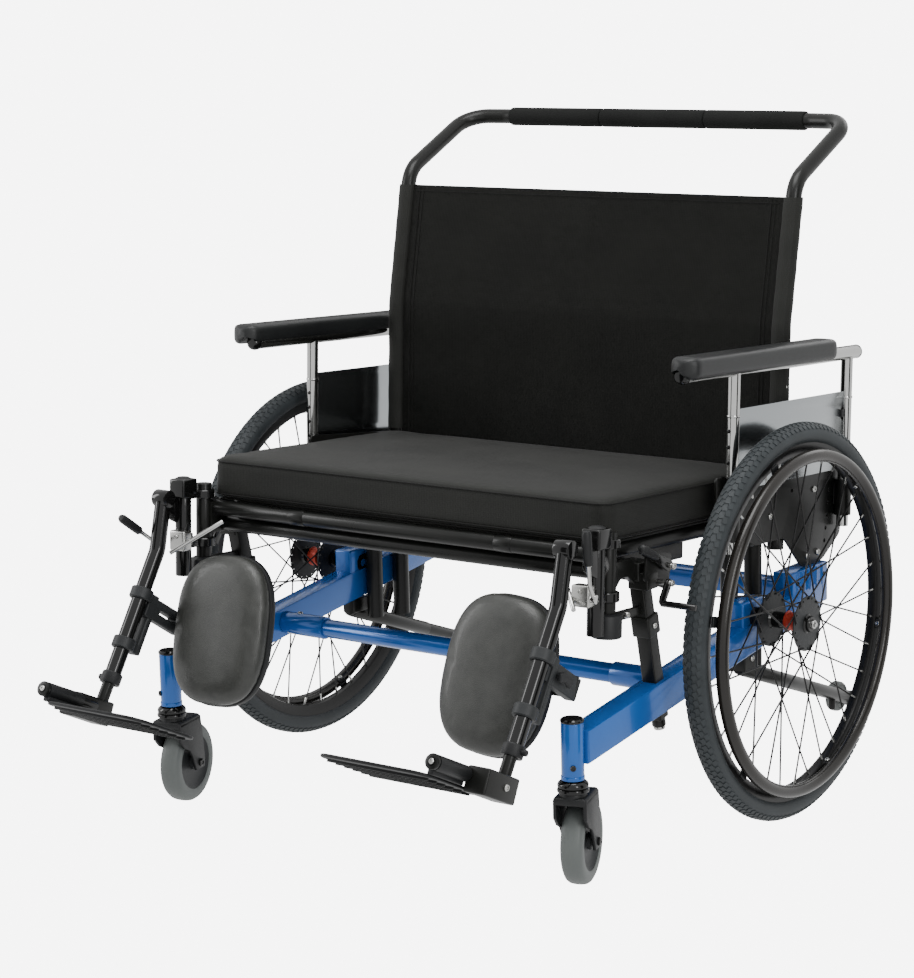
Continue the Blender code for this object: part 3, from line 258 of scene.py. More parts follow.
# %% Finishes
BLUE = finish_of("blue_gloss_paint", (0.005, 0.075, 0.30), (0.008, 0.098, 0.37), 0.22, 0.25, bump=0.03, coat=0.35,
                 shine=0.35)
BLACK = finish_of("black_satin_paint", (0.0040, 0.0042, 0.0038), (0.0075, 0.0078, 0.0070), 0.30, bump=0.06,
                  shine=0.24)
GLOSS = finish_of("black_gloss_paint", (0.0025, 0.0025, 0.0025), (0.0050, 0.0050, 0.0050), 0.12, bump=0.02,
                  coat=0.10, shine=0.34, spread=0.04)
CHROME = finish_of("chrome_plate", (0.44, 0.44, 0.43), (0.54, 0.54, 0.53), 0.10, 1.0, bump=0.01, spread=0.03)
SCREW = finish_of("zinc_screws", (0.38, 0.38, 0.37), (0.50, 0.50, 0.48), 0.26, 1.0, bump=0.03)
PANEL = finish_of("polished_side_panel", (0.30, 0.32, 0.33), (0.40, 0.42, 0.43), 0.20, 1.0, scale=420.0, bump=0.10,
                  stretch=(1, 0.05, 1), cloud=5.0, spread=0.05)
TYRE = finish_of("blue_grey_tyre_rubber", (0.013, 0.017, 0.019), (0.024, 0.029, 0.032), 0.58, scale=600.0,
                 bump=0.25, cloud=26.0, shine=0.35)
GREY = finish_of("grey_caster_rubber", (0.070, 0.078, 0.076), (0.096, 0.105, 0.100), 0.50, scale=800.0, bump=0.12,
                 shine=0.4)
RIM = finish_of("black_anodised_rim", (0.005, 0.005, 0.005), (0.010, 0.010, 0.010), 0.32, 0.3, bump=0.04, shine=0.3)
RING = finish_of("handrim_lacquer", (0.009, 0.008, 0.007), (0.015, 0.013, 0.011), 0.25, 0.2, bump=0.03, coat=0.12,
                 shine=0.35)
PLASTIC = finish_of("moulded_black_plastic", (0.0050, 0.0055, 0.0058), (0.0105, 0.0110, 0.0120), 0.46, scale=1500.0,
                    bump=0.22, shine=0.28)
GREYPLASTIC = finish_of("charcoal_plastic", (0.012, 0.013, 0.014), (0.018, 0.020, 0.021), 0.48, scale=1500.0,
                        bump=0.20, shine=0.3)
ORANGE = finish_of("orange_hub_band", (0.30, 0.022, 0.010), (0.42, 0.035, 0.014), 0.35, 0.3, bump=0.04)
FLANGE_FINISH = GREYPLASTIC
VINYL = finish_of("grained_calf_vinyl", (0.016, 0.017, 0.015), (0.026, 0.027, 0.024), 0.40, kind="leather",
                  scale=520.0, bump=0.55, cloud=40.0, coat=0.08, shine=0.45)
PADSKIN = finish_of("moulded_arm_pad_skin", (0.0070, 0.0075, 0.0078), (0.0130, 0.0140, 0.0140), 0.40,
                    kind="leather", scale=1100.0, bump=0.22, shine=0.3)
NYLON = finish_of("seat_nylon", (0.0062, 0.0066, 0.0056), (0.0108, 0.0112, 0.0096), 0.66, kind="weave", scale=105.0,
                  bump=0.30, sheen=0.05, shine=0.2)
TRIM = finish_of("bound_seam_tape", (0.0035, 0.0036, 0.0032), (0.0065, 0.0067, 0.0060), 0.60, kind="weave",
                 scale=240.0, bump=0.4, shine=0.15)
FOAM = finish_of("push_grip_foam", (0.0045, 0.0048, 0.0045), (0.0090, 0.0095, 0.0090), 0.88, scale=1300.0, bump=0.8,
                 shine=0.15)
print("finishes:", len(bpy.data.materials))

# %% [markdown]
# A few bench tools make nearly every metal piece. A round bar is a cone primitive with softened end edges. A block is
# a cube with rolled edges. A turned part is a profile spun round its axis. A bent tube is a circle that is extruded
# along each straight and spun round each bend, as a tube bender does. A plate is an outline that is given a thickness.

# %% Bench tools
def turned(profile, steps=48, ring=False):
    """Spin (radius, height) points about Z."""
    bm = bmesh.new()
    points = [bm.verts.new((radius, 0, height)) for radius, height in profile]
    edges = [bm.edges.new(pair) for pair in zip(points, points[1:])]
    if ring:
        edges.append(bm.edges.new((points[-1], points[0])))
    bmesh.ops.spin(bm, geom=points + edges, cent=(0, 0, 0), axis=(0, 0, 1), angle=2 * pi, steps=steps, use_merge=True)
    bmesh.ops.remove_doubles(bm, verts=bm.verts, dist=0.00001)
    return bm


def roll_edges(bm, edges, width, segments=2):
    bmesh.ops.bevel(bm, geom=edges, offset=width, segments=segments, profile=0.5, affect="EDGES", material=-1,
                    clamp_overlap=True)
    return bm


def bar(start, end, radius, end_radius=None, sides=28, soft=0.0006):
    """A round bar with rolled ends between two points."""
    start, end = Vector(start), Vector(end)
    bm = bmesh.new()
    bmesh.ops.create_cone(bm, cap_ends=True, segments=sides, radius1=radius, depth=(end - start).length,
                          radius2=radius if end_radius is None else end_radius)
    if soft:
        rims = [e for e in bm.edges if any(len(f.verts) > 4 for f in e.link_faces)]
        roll_edges(bm, rims, soft, 2)
    bm.transform(Matrix.Translation((start + end) / 2) @ (end - start).to_track_quat("Z", "Y").to_matrix().to_4x4())
    return bm


def block(low, high, soft=0.001, segments=3):
    low, high = Vector(low), Vector(high)
    low, high = Vector(map(min, low, high)), Vector(map(max, low, high))
    bm = bmesh.new()
    bmesh.ops.create_cube(bm, size=1.0)
    bmesh.ops.scale(bm, vec=high - low, verts=bm.verts)
    bmesh.ops.translate(bm, vec=(low + high) / 2, verts=bm.verts)
    return roll_edges(bm, bm.edges[:], soft, segments) if soft else bm


def plate(outline, low_x, high_x, soft=0.0008, corner=0.0):
    """A (y, z) outline given its thickness along X, with rolled rims and, if asked, rounded corners."""
    bm = bmesh.new()
    face = bm.faces.new([bm.verts.new((min(low_x, high_x), y, z)) for y, z in outline])
    grown = bmesh.ops.extrude_face_region(bm, geom=[face])
    moved = [v for v in grown["geom"] if isinstance(v, bmesh.types.BMVert)]
    bmesh.ops.translate(bm, vec=(abs(high_x - low_x), 0, 0), verts=moved)
    bmesh.ops.recalc_face_normals(bm, faces=bm.faces)
    if corner:
        uprights = [e for e in bm.edges if abs((e.verts[0].co - e.verts[1].co).x) > 0.0001]
        roll_edges(bm, uprights, corner, 5)
    if soft:
        rims = [e for e in bm.edges if abs((e.verts[0].co - e.verts[1].co).x) < 0.00001]
        roll_edges(bm, rims, soft, 2)
    return bm


def bent_tube(route, radius, bend=0.03, sides=24, steps=10):
    """A tube that follows straight runs and round bends."""
    route = [Vector(p) for p in route]
    heading = (route[1] - route[0]).normalized()
    bm = bmesh.new()
    bmesh.ops.create_circle(bm, cap_ends=True, segments=sides, radius=radius)
    bm.transform(Matrix.Translation(route[0]) @ heading.to_track_quat("Z", "Y").to_matrix().to_4x4())
    ring = bm.edges[:]
    here = route[0]

    def push(ring, offset):
        out = bmesh.ops.extrude_edge_only(bm, edges=ring)["geom"]
        bmesh.ops.translate(bm, vec=offset, verts=[v for v in out if isinstance(v, bmesh.types.BMVert)])
        return [e for e in out if isinstance(e, bmesh.types.BMEdge)]

    for corner, after in zip(route[1:], route[2:]):
        outward = (after - corner).normalized()
        turn = heading.angle(outward)
        if turn < 0.01:
            continue
        reach = bend * sin(turn / 2) / cos(turn / 2)
        arc_start = corner - heading * reach
        ring = push(ring, arc_start - here)
        axis = heading.cross(outward).normalized()
        centre = arc_start + axis.cross(heading) * bend
        verts = list({v for e in ring for v in e.verts})
        swept = bmesh.ops.spin(bm, geom=verts + ring, cent=centre, axis=axis, angle=turn, steps=steps)
        ring = [e for e in swept["geom_last"] if isinstance(e, bmesh.types.BMEdge)]
        here = corner + outward * reach
        heading = outward
    ring = push(ring, route[-1] - here)
    bmesh.ops.holes_fill(bm, edges=ring)
    return bm


def screw_head(place, axis, radius=0.004, height=0.0025):
    """A round screw head with a hollow socket."""
    bm = turned([(0, height - 0.0012), (radius * 0.45, height - 0.0012), (radius * 0.5, height),
                 (radius * 0.8, height), (radius, height * 0.55), (radius, 0), (0, 0)], 18)
    bm.transform(Matrix.Translation(place) @ Vector(axis).to_track_quat("Z", "Y").to_matrix().to_4x4())
    return bm


print("bench tools ready")

# %% [markdown]
# A piece is a set of such shapes gathered in one mesh. The gathering tool turns every face outwards, mirrors the piece
# for the right side, smooths it but keeps real edges sharp, gives it its finish, hangs it on the body it rides on and
# hides the plain solids of the frame that it stands for.

# %% Assembly tools
def gather(*parts, place=Matrix()):
    """Join shapes into one mesh, each turned the right way out, and put it in its frame."""
    whole = bmesh.new()
    for part in parts:
        bmesh.ops.recalc_face_normals(part, faces=part.faces)
        mesh = bpy.data.meshes.new("part")
        part.to_mesh(mesh)
        part.free()
        whole.from_mesh(mesh)
        bpy.data.meshes.remove(mesh)
    whole.transform(place)
    return whole


def fit(name, bm, mat, body, stands_for=(), side="left", angle=32):
    """Make the object, mirror it if it is on the right, and hang it on its body."""
    bm.transform(SIDES[side])
    if side == "right":
        bmesh.ops.reverse_faces(bm, faces=bm.faces)
    mesh = bpy.data.meshes.new(name)
    bm.to_mesh(mesh)
    bm.free()
    mesh.shade_smooth()
    mesh.set_sharp_from_angle(angle=radians(angle))
    obj = bpy.data.objects.new(name, mesh)
    mesh.materials.append(mat)
    bpy.context.scene.collection.objects.link(obj)
    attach(obj, body)
    if stands_for:
        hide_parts(*stands_for)
    return obj


def cut(bm, cutter):
    """Take one closed shape out of another."""
    objs = []
    for shape in (bm, cutter):
        bmesh.ops.recalc_face_normals(shape, faces=shape.faces)
        mesh = bpy.data.meshes.new("cut")
        shape.to_mesh(mesh)
        shape.free()
        obj = bpy.data.objects.new("cut", mesh)
        bpy.context.scene.collection.objects.link(obj)
        objs.append(obj)
    modifier = objs[0].modifiers.new("cut", "BOOLEAN")
    modifier.operation, modifier.solver, modifier.object = "DIFFERENCE", "EXACT", objs[1]
    bpy.context.view_layer.update()
    result = bmesh.new()
    shown = objs[0].evaluated_get(bpy.context.evaluated_depsgraph_get())
    done = bpy.data.meshes.new_from_object(shown)
    result.from_mesh(done)
    for obj in objs:
        old = obj.data
        bpy.data.objects.remove(obj)
        bpy.data.meshes.remove(old)
    bpy.data.meshes.remove(done)
    return result


def repeated(bm, count, axis=(0, 0, 1), centre=(0, 0, 0)):
    """Copy a shape round an axis."""
    source = bpy.data.meshes.new("one")
    bm.to_mesh(source)
    bm.free()
    ring = bmesh.new()
    for i in range(count):
        before = set(ring.verts)
        ring.from_mesh(source)
        fresh = [v for v in ring.verts if v not in before]
        bmesh.ops.rotate(ring, cent=centre, matrix=Matrix.Rotation(2 * pi * i / count, 3, axis), verts=fresh)
    bpy.data.meshes.remove(source)
    return ring


print("assembly tools ready")

# %% [markdown]
# A 24 inch wheel is a rubber tyre with small tread blocks, a black double-wall rim, a hub with two drilled flanges and
# 36 crossed spokes. The tyre's section is drawn as points and spun. The tread blocks are one small block copied round
# the axis in five rows, half a step apart, because real blocks catch the light where a painted pattern would not.

# %% Rear wheels
def wheel_place(x=WHEEL_X):
    return BASE @ Matrix.Translation((x, 0, WHEEL_R)) @ ACROSS


def tyre(side):
    centre, section = 0.2872, 0.0171
    profile = [(0.2742, -0.0092), (0.2760, -0.0128)]
    profile += [(centre + section * cos(radians(a)), section * sin(radians(a))) for a in range(-108, 109, 12)]
    profile += [(0.2760, 0.0128), (0.2742, 0.0092)]
    rows = []
    for row, angle, count, shift in ((0, 0, 148, 0.0), (1, 24, 148, 0.5), (2, -24, 148, 0.5), (3, 47, 148, 0.0),
                                     (4, -47, 148, 0.0)):
        one = block((-0.0035, -0.0043, -0.0010), (0.0035, 0.0043, 0.0009), 0.0)
        one.transform(Matrix.Translation((section, 0, 0)) @ Matrix.Rotation(pi / 2, 4, "Y")
                      @ Matrix.Rotation(radians(18 if row % 2 else -18), 4, "Z"))
        one.transform(Matrix.Translation((centre, 0, 0)) @ Matrix.Rotation(radians(-angle), 4, "Y"))
        one.transform(Matrix.Rotation(2 * pi * shift / count, 4, "Z"))
        rows.append(repeated(one, count))
    bm = gather(turned(profile, 148, ring=True), *rows, place=wheel_place())
    return fit(f"tyre_rubber_{side}", bm, TYRE, f"wheel_{side}", [f"tyre_{side}"], side, 40)


def rim(side):
    wall = [(0.2568, -0.0052), (0.2580, -0.0078), (0.2650, -0.0105), (0.2700, -0.0117), (0.2752, -0.0120),
            (0.2762, -0.0112), (0.2756, -0.0103), (0.2705, -0.0098), (0.2690, -0.0060)]
    profile = wall + [(r, -h) for r, h in reversed(wall)]
    bm = gather(turned(profile, 128, ring=True), place=wheel_place())
    return fit(f"rim_hoop_{side}", bm, RIM, f"wheel_{side}", [f"rim_{side}"], side)


for side in SIDES:
    tyre(side)
    rim(side)
print("tyres and rims made")

# %% [markdown]
# Spokes leave the flanges almost along the rim of the flange and cross three others on the way out, which is what
# makes a wheel stiff when it is pushed. Odd spokes lean forwards and even ones back, and they alternate between the
# two flanges. Each ends in a bright nipple. The flanges are dark discs with a hole for every spoke head.

# %% Hubs and spokes
HUB_X = WHEEL_X - 0.0065
FLANGE = 0.0303


def flange_disc(offset, outer):
    disc = turned([(0.012, -0.0016), (0.0405, -0.0013), (0.0425, -0.0008), (0.0425, 0.0008), (0.0405, 0.0013),
                   (0.012, 0.0016)], 60, ring=True)
    hole = bar((0.0386, 0, -0.01), (0.0386, 0, 0.01), 0.0019, sides=10, soft=0)
    disc = cut(disc, repeated(hole, 18))
    if not outer:
        disc.transform(Matrix.Rotation(pi / 18, 4, "Z"))
    disc.transform(Matrix.Translation((0, 0, offset)))
    return disc


def hub(side):
    place = wheel_place(HUB_X)
    shell = turned([(0.0075, -0.0405), (0.0105, -0.040), (0.0115, -0.0335), (0.0150, -0.0325), (0.0150, -0.0285),
                    (0.0125, -0.0255), (0.0125, 0.0255), (0.0150, 0.0285), (0.0150, 0.0325), (0.0125, 0.0345),
                    (0.0122, 0.0385), (0.0115, 0.0395), (0.0075, 0.0395)], 48, ring=True)
    fit(f"hub_shell_{side}", gather(shell, place=place), GLOSS, f"wheel_{side}", [f"hub_{side}"], side)
    discs = gather(flange_disc(FLANGE, True), flange_disc(-FLANGE, False), place=place)
    fit(f"hub_flanges_{side}", discs, FLANGE_FINISH, f"wheel_{side}", (), side)
    bead = turned([(0.0126, -0.0090), (0.0160, -0.0085), (0.0164, -0.0070), (0.0142, -0.0050), (0.0142, 0.0050),
                   (0.0164, 0.0070), (0.0160, 0.0085), (0.0126, 0.0090)], 48, ring=True)
    place_band = place @ Matrix.Translation((0, 0, 0.006))
    fit(f"hub_band_{side}", gather(bead, place=place_band), ORANGE, f"wheel_{side}", (), side)
    axle = gather(turned([(0, 0.0470), (0.0032, 0.0470), (0.0042, 0.0462), (0.0042, 0.0440), (0.0066, 0.0438),
                          (0.0070, 0.0430), (0.0070, 0.0385), (0, 0.0385)], 24),
                  bar((0, 0, -0.060), (0, 0, -0.040), 0.0062), place=place)
    fit(f"axle_end_{side}", axle, CHROME, f"wheel_{side}", (), side)


def spokes(side):
    wires, nipples = [], []
    for i in range(36):
        outer = i % 2
        lead = (1 if (i // 2) % 2 else -1) * radians(58)
        at_rim = 2 * pi * i / 36
        near = -FLANGE if outer else FLANGE
        inset = 0.0026 if (i // 2) % 2 else -0.0026
        start = Vector((HUB_X - near + inset, cos(at_rim + lead) * 0.0386, sin(at_rim + lead) * 0.0386))
        end = Vector((WHEEL_X + (-0.002 if outer else 0.002) * (1 if near > 0 else -1), cos(at_rim) * 0.2572,
                      sin(at_rim) * 0.2572))
        wires.append(bar(start, end, 0.0014, sides=8, soft=0))
        root = end + (start - end).normalized() * 0.0125
        nipples.append(bar(end, root, 0.0021, 0.0016, sides=10, soft=0))
    place = BASE @ Matrix.Translation((0, 0, WHEEL_R))
    fit(f"spoke_wires_{side}", gather(*wires, place=place), RIM, f"wheel_{side}", (), side)
    fit(f"spoke_nipples_{side}", gather(*nipples, place=place), SCREW, f"wheel_{side}", (), side)


for side in SIDES:
    hub(side)
    spokes(side)
print("hubs and", 36 * 2, "spokes made")

# %% [markdown]
# The handrim is a lacquered steel hoop that the rider pushes. It stands off the rim on six moulded tabs, each held by
# a bright screw. A fine spin of a full circle keeps its highlight unbroken.

# %% Handrims
def handrim(side):
    hoop = turned([(0.2565 + 0.0099 * cos(radians(a)), 0.0099 * sin(radians(a))) for a in range(0, 360, 15)], 144,
                  ring=True)
    fit(f"handrim_hoop_{side}", gather(hoop, place=wheel_place(WHEEL_X + 0.0265)), RING, f"wheel_{side}",
        [f"handrim_{side}"], side)
    tab = gather(block((0.2570, -0.0085, 0.0125), (0.2690, 0.0085, 0.0165), 0.0014),
                 block((0.2480, -0.0070, 0.0135), (0.2600, 0.0070, 0.0215), 0.0020))
    tabs = repeated(tab, 6)
    tabs.transform(Matrix.Rotation(radians(18), 4, "Z"))
    fit(f"handrim_tabs_{side}", gather(tabs, place=wheel_place()), PLASTIC, f"wheel_{side}", (),
        side)
    heads = repeated(screw_head((0.2475, 0, 0.0180), (-1, 0, 0), 0.0036), 6)
    heads.transform(Matrix.Rotation(radians(18), 4, "Z"))
    fit(f"handrim_screws_{side}", gather(heads, place=wheel_place()), SCREW, f"wheel_{side}", (), side)


for side in SIDES:
    handrim(side)
print("handrims made")

# %% [markdown]
# A caster is a solid grey tyre on a dark core, held in a moulded fork with a rounded arch over the wheel. Two glossy
# caps cover the bearings of the upright stem. It is drawn about its own stem and then turned to where it trails.

# %% Casters
CASTER_TURN = {"left": radians(17.8), "right": radians(12.1)}
TRAIL, CR, CW = 0.0405, 0.0635, 0.0165


def caster_place(side):
    """The swivel's own frame; the right one is mirrored afterwards, so it is drawn already turned back."""
    turn = CASTER_TURN[side] if side == "left" else -CASTER_TURN[side]
    return BASE @ Matrix.Translation((CASTER_X, -0.478, 0)) @ Matrix.Rotation(turn, 4, "Z")


def caster(side):
    place = caster_place(side)
    hub_place = place @ Matrix.Translation((0, TRAIL, CR)) @ ACROSS
    half = [(0.0435, -CW + 0.0010), (0.0460, -CW), (0.0560, -CW + 0.0003), (0.0600, -CW + 0.0025),
            (0.0624, -CW + 0.0062), (0.0633, -CW + 0.0115), (0.0635, 0.0)]
    tread = turned(half + [(r, -h) for r, h in reversed(half[:-1])], 72, ring=True)
    fit(f"caster_tyre_{side}", gather(tread, place=hub_place), GREY, f"caster_roller_{side}",
        [f"caster_wheel_{side}"], side)
    side_wall = [(0.0046, -0.0170), (0.0110, -0.0170), (0.0122, -0.0160), (0.0128, -0.0110), (0.0340, -0.0100),
                 (0.0395, -0.0125), (0.0440, -0.0152), (0.0440, 0.0)]
    core = turned(side_wall + [(r, -h) for r, h in reversed(side_wall[:-1])], 64, ring=True)
    fit(f"caster_core_{side}", gather(core, place=hub_place), GREYPLASTIC, f"caster_roller_{side}",
        (), side)
    arms = []
    for x in (-1, 1):
        shape = [(TRAIL - 0.0125, CR - 0.010), (TRAIL + 0.0125, CR - 0.010), (TRAIL + 0.0150, CR + 0.004),
                 (TRAIL + 0.0100, 0.116), (TRAIL + 0.006, 0.1395), (-0.0195, 0.1395), (-0.0195, 0.112),
                 (-0.006, 0.098), (0.010, 0.090), (0.018, 0.078)]
        low, high = sorted((x * 0.0198, x * 0.0250))
        arms.append(plate(shape, low, high, 0.0012))
    crown = block((-0.0250, -0.0210, 0.1310), (0.0250, TRAIL + 0.0060, 0.1435), 0.0045, 4)
    neck = bar((0, 0, 0.134), (0, 0, 0.150), 0.0215, 0.0190, soft=0.0015)
    body = gather(*arms, crown, neck, place=place)
    fit(f"caster_fork_arms_{side}", body, PLASTIC, f"caster_swivel_{side}",
        [f"caster_fork_{side}"], side)
    rings = turned([(0.0, 0.1480), (0.0205, 0.1480), (0.0228, 0.1490), (0.0232, 0.1515), (0.0222, 0.1540),
                    (0.0205, 0.1550), (0.0222, 0.1562), (0.0226, 0.1590), (0.0215, 0.1620), (0.0185, 0.1645),
                    (0.0, 0.1655)], 48)
    cap = turned([(0.0, 0.2504), (0.0168, 0.2504), (0.0174, 0.2514), (0.0172, 0.2536), (0.0150, 0.2556),
                  (0.0, 0.2562)], 48)
    fit(f"caster_bearing_caps_{side}", gather(rings, cap, place=place), GLOSS, f"caster_swivel_{side}",
        (), side)
    bolts = gather(screw_head((0.0250, TRAIL, CR), (1, 0, 0), 0.0062, 0.0040),
                   screw_head((-0.0250, TRAIL, CR), (-1, 0, 0), 0.0062, 0.0040),
                   bar((-0.025, TRAIL, CR), (0.025, TRAIL, CR), 0.0038, soft=0), place=place)
    fit(f"caster_axle_bolts_{side}", bolts, GLOSS, f"caster_swivel_{side}", (), side)


for side in SIDES:
    caster(side)
print("casters made")

# %% [markdown]
# The base is two blue box beams that rise to the back, joined by telescoping cross tubes. A beam is an outline with a
# thickness and rounded long edges. The caster housing in front is a tube with a small set screw. Behind the wheel a
# ribbed block carries the side plate, and a hole row takes the axle.

# %% Base
BEAM_Z, BEAM_RISE, BEAM_FRONT = 0.2125, 0.1285, -0.470


def beam_z(y):
    return BEAM_Z + BEAM_RISE * (y - BEAM_FRONT)


def beam(side):
    inner, outer, half = BEAM_X - 0.019, BEAM_X + 0.019, 0.0245
    y0, y1 = -0.468, 0.214
    rail = plate([(y0, beam_z(y0) - half), (y1, beam_z(y1) - half), (y1, beam_z(y1) + half), (y0, beam_z(y0) + half)],
                 inner, outer, 0.0032)
    housing = bar((CASTER_X, -0.478, 0.1665), (CASTER_X, -0.478, 0.2500), 0.0165, sides=40, soft=0.0010)
    collar = bar((CASTER_X, -0.478, 0.1665), (CASTER_X, -0.478, 0.1725), 0.0172, sides=40)
    rear = block((inner + 0.001, 0.118, beam_z(0.118) - 0.004), (outer - 0.001, 0.232, 0.3485), 0.0022)
    ribs = [block((inner - 0.0002, 0.128 + 0.020 * i, 0.312), (outer + 0.0002, 0.138 + 0.020 * i, 0.3475), 0.0018)
            for i in range(5)]
    axle = block((inner + 0.002, -0.034, beam_z(0.0)), (outer - 0.002, 0.034, WHEEL_R + 0.026), 0.0040)
    place = BASE
    fit(f"beam_body_{side}", gather(rail, housing, collar, rear, *ribs, axle, place=place), BLUE, "chair",
        [f"base_beam_{side}"], side)
    sleeve = turned([(0.0067, 0.0), (0.0155, 0.0), (0.0155, 0.0460), (0.0130, 0.0475), (0.0067, 0.0475)], 40,
                    ring=True)
    sleeve_place = place @ Matrix.Translation((inner + 0.0006, 0, WHEEL_R)) @ ACROSS
    fit(f"axle_sleeve_{side}", gather(sleeve, place=sleeve_place), GLOSS, "chair", (), side)
    heads = [screw_head((CASTER_X + 0.0098, -0.4915, 0.1865), (0.6, -0.8, 0), 0.0044, 0.0030)]
    heads += [screw_head((outer, y, beam_z(y) + dz), (1, 0, 0), 0.0042)
              for y, dz in ((-0.16, 0.0), (0.06, -0.004), (0.165, 0.006))]
    heads += [screw_head((outer - 0.001, y, 0.330), (1, 0, 0), 0.0040) for y in (0.132, 0.218)]
    fit(f"beam_screws_{side}", gather(*heads, place=place), GLOSS, "chair", (), side)
    lid = block((inner + 0.001, y1 - 0.001, beam_z(y1) - half + 0.002),
                (outer - 0.001, y1 + 0.003, beam_z(y1) + half - 0.002), 0.0014)
    fit(f"beam_end_cap_{side}", gather(lid, place=place), PLASTIC, "chair", (), side)


for side in SIDES:
    beam(side)
reach, height = BEAM_X - 0.0193, beam_z(-0.210)
cross = [bar((-reach + 0.06, -0.210, height), (reach - 0.06, -0.210, height), 0.0150, sides=36)]
cross += [bar((s * (reach - 0.085), -0.210, height), (s * reach, -0.210, height), 0.0182, sides=36, soft=0.0012)
          for s in (1, -1)]
fit("cross_tube_body", gather(*cross, place=BASE), BLUE, "chair", ["base_cross_tube"])
rear_z = beam_z(0.190) + 0.008
rear = [block((-reach, 0.1712, rear_z - 0.0148), (reach, 0.2088, rear_z + 0.0148), 0.0030)]
rear += [block((s * (reach - 0.050), 0.1700, rear_z - 0.0152), (s * reach, 0.2095, rear_z + 0.0152), 0.0030)
         for s in (1, -1)]
fit("rear_tube_body", gather(*rear, place=BASE), BLUE, "chair", ["base_rear_tube"])
pins = [screw_head((s * (reach - 0.030), -0.210, height + 0.0180), (0, 0, 1), 0.0045) for s in (1, -1)]
pins += [screw_head((s * (reach - 0.025), 0.1705, rear_z), (0, -1, 0), 0.0045) for s in (1, -1)]
fit("cross_tube_pins", gather(*pins, place=BASE), SCREW, "chair")
print("base made, cross tube at", round(height, 3))

# %% [markdown]
# A slanted square tube stands through each beam and carries the front of the seat. It has a clamp for the latch bar of
# the leg rest, the bracket of the wheel lock and a bright bolt under the beam. The anti-tip bar hangs behind on a
# plate and ends in a small roller.

# %% Seat posts, latch bars and anti-tip bars
POST_TOP, POST_FOOT = Vector((BEAM_X, -0.303, 0.424)), Vector((BEAM_X, -0.255, 0.203))
TIP_A, TIP_B = Vector((BEAM_X, -0.020, 0.226)), Vector((BEAM_X, 0.338, 0.094))


def square_bar(start, end, half, soft=0.002):
    length = (Vector(end) - Vector(start)).length
    bm = block((-half, -half, 0), (half, half, length), soft)
    along = (Vector(end) - Vector(start)).normalized()
    side_way = Vector((1, 0, 0))
    front = along.cross(side_way).normalized()
    bm.transform(Matrix.Translation(start) @ Matrix((side_way, front, along)).transposed().to_4x4())
    return bm


def seat_post(side):
    post = square_bar(POST_TOP, POST_FOOT, 0.0118)
    clamp = square_bar(POST_TOP.lerp(POST_FOOT, 0.26), POST_TOP.lerp(POST_FOOT, 0.40), 0.0152)
    lug = block((RAIL_X + TUBE + 0.0004, -0.320, 0.4215), (BEAM_X + 0.0100, -0.286, 0.4485), 0.0022)
    strut = block((BEAM_X - 0.0100, -0.318, 0.409), (LOCK_X - 0.0062, -0.288, 0.434), 0.0020)
    bracket = plate([(-0.325, 0.425), (-0.262, 0.400), (-0.250, 0.452), (-0.318, 0.470)], LOCK_X - 0.0103,
                    LOCK_X - 0.0064, 0.0008, 0.006)
    fit(f"seat_post_tube_{side}", gather(post, clamp, lug, strut, bracket, place=BASE), BLACK, "chair",
        [f"seat_post_{side}"], side)
    along = (POST_FOOT - POST_TOP).normalized()
    stub = bar(POST_FOOT - along * 0.004, POST_FOOT + along * 0.012, 0.0104, sides=32)
    gusset = plate([(-0.3700, -0.0080), (-0.3120, -0.0080), (-0.3120, -0.0480), (-0.3340, -0.0330),
                    (-0.3520, -0.0330), (-0.3700, -0.0500)], 0.3735, 0.3845, 0.0016)
    strap = block((0.3790, -0.3700, -0.0940), (0.3860, -0.2900, -0.0800), 0.0016)
    low_parts = gather(gather(stub, place=BASE), gather(gusset, strap, place=SEAT))
    fit(f"seat_post_gusset_{side}", low_parts, BLACK, "chair", (), side)
    strap_pin = gather(screw_head((0.3860, -0.3420, -0.0870), (1, 0, 0), 0.0052, 0.0050), place=SEAT)
    fit(f"strap_pin_{side}", strap_pin, SCREW, "chair", (), side)
    bolt = gather(bar(POST_FOOT + along * 0.0122, POST_FOOT + along * 0.0175, 0.0086, sides=24, soft=0.0008),
                  screw_head(POST_TOP.lerp(POST_FOOT, 0.33) + Vector((0.0152, 0, 0)), (1, 0, 0), 0.0045),
                  screw_head((LOCK_X + 0.0062, -0.268, 0.438), (1, 0, 0), 0.0050, 0.0032),
                  bar((LOCK_X - 0.0070, -0.268, 0.438), (LOCK_X + 0.0070, -0.268, 0.438), 0.0038),
                  bar((LOCK_X - 0.0070, -0.290, 0.418), (LOCK_X + 0.0180, -0.290, 0.418), 0.0038),
                  screw_head((LOCK_X + 0.0172, -0.290, 0.418), (1, 0, 0), 0.0048, 0.0030), place=BASE)
    fit(f"seat_post_bolts_{side}", bolt, SCREW, "chair", (), side)


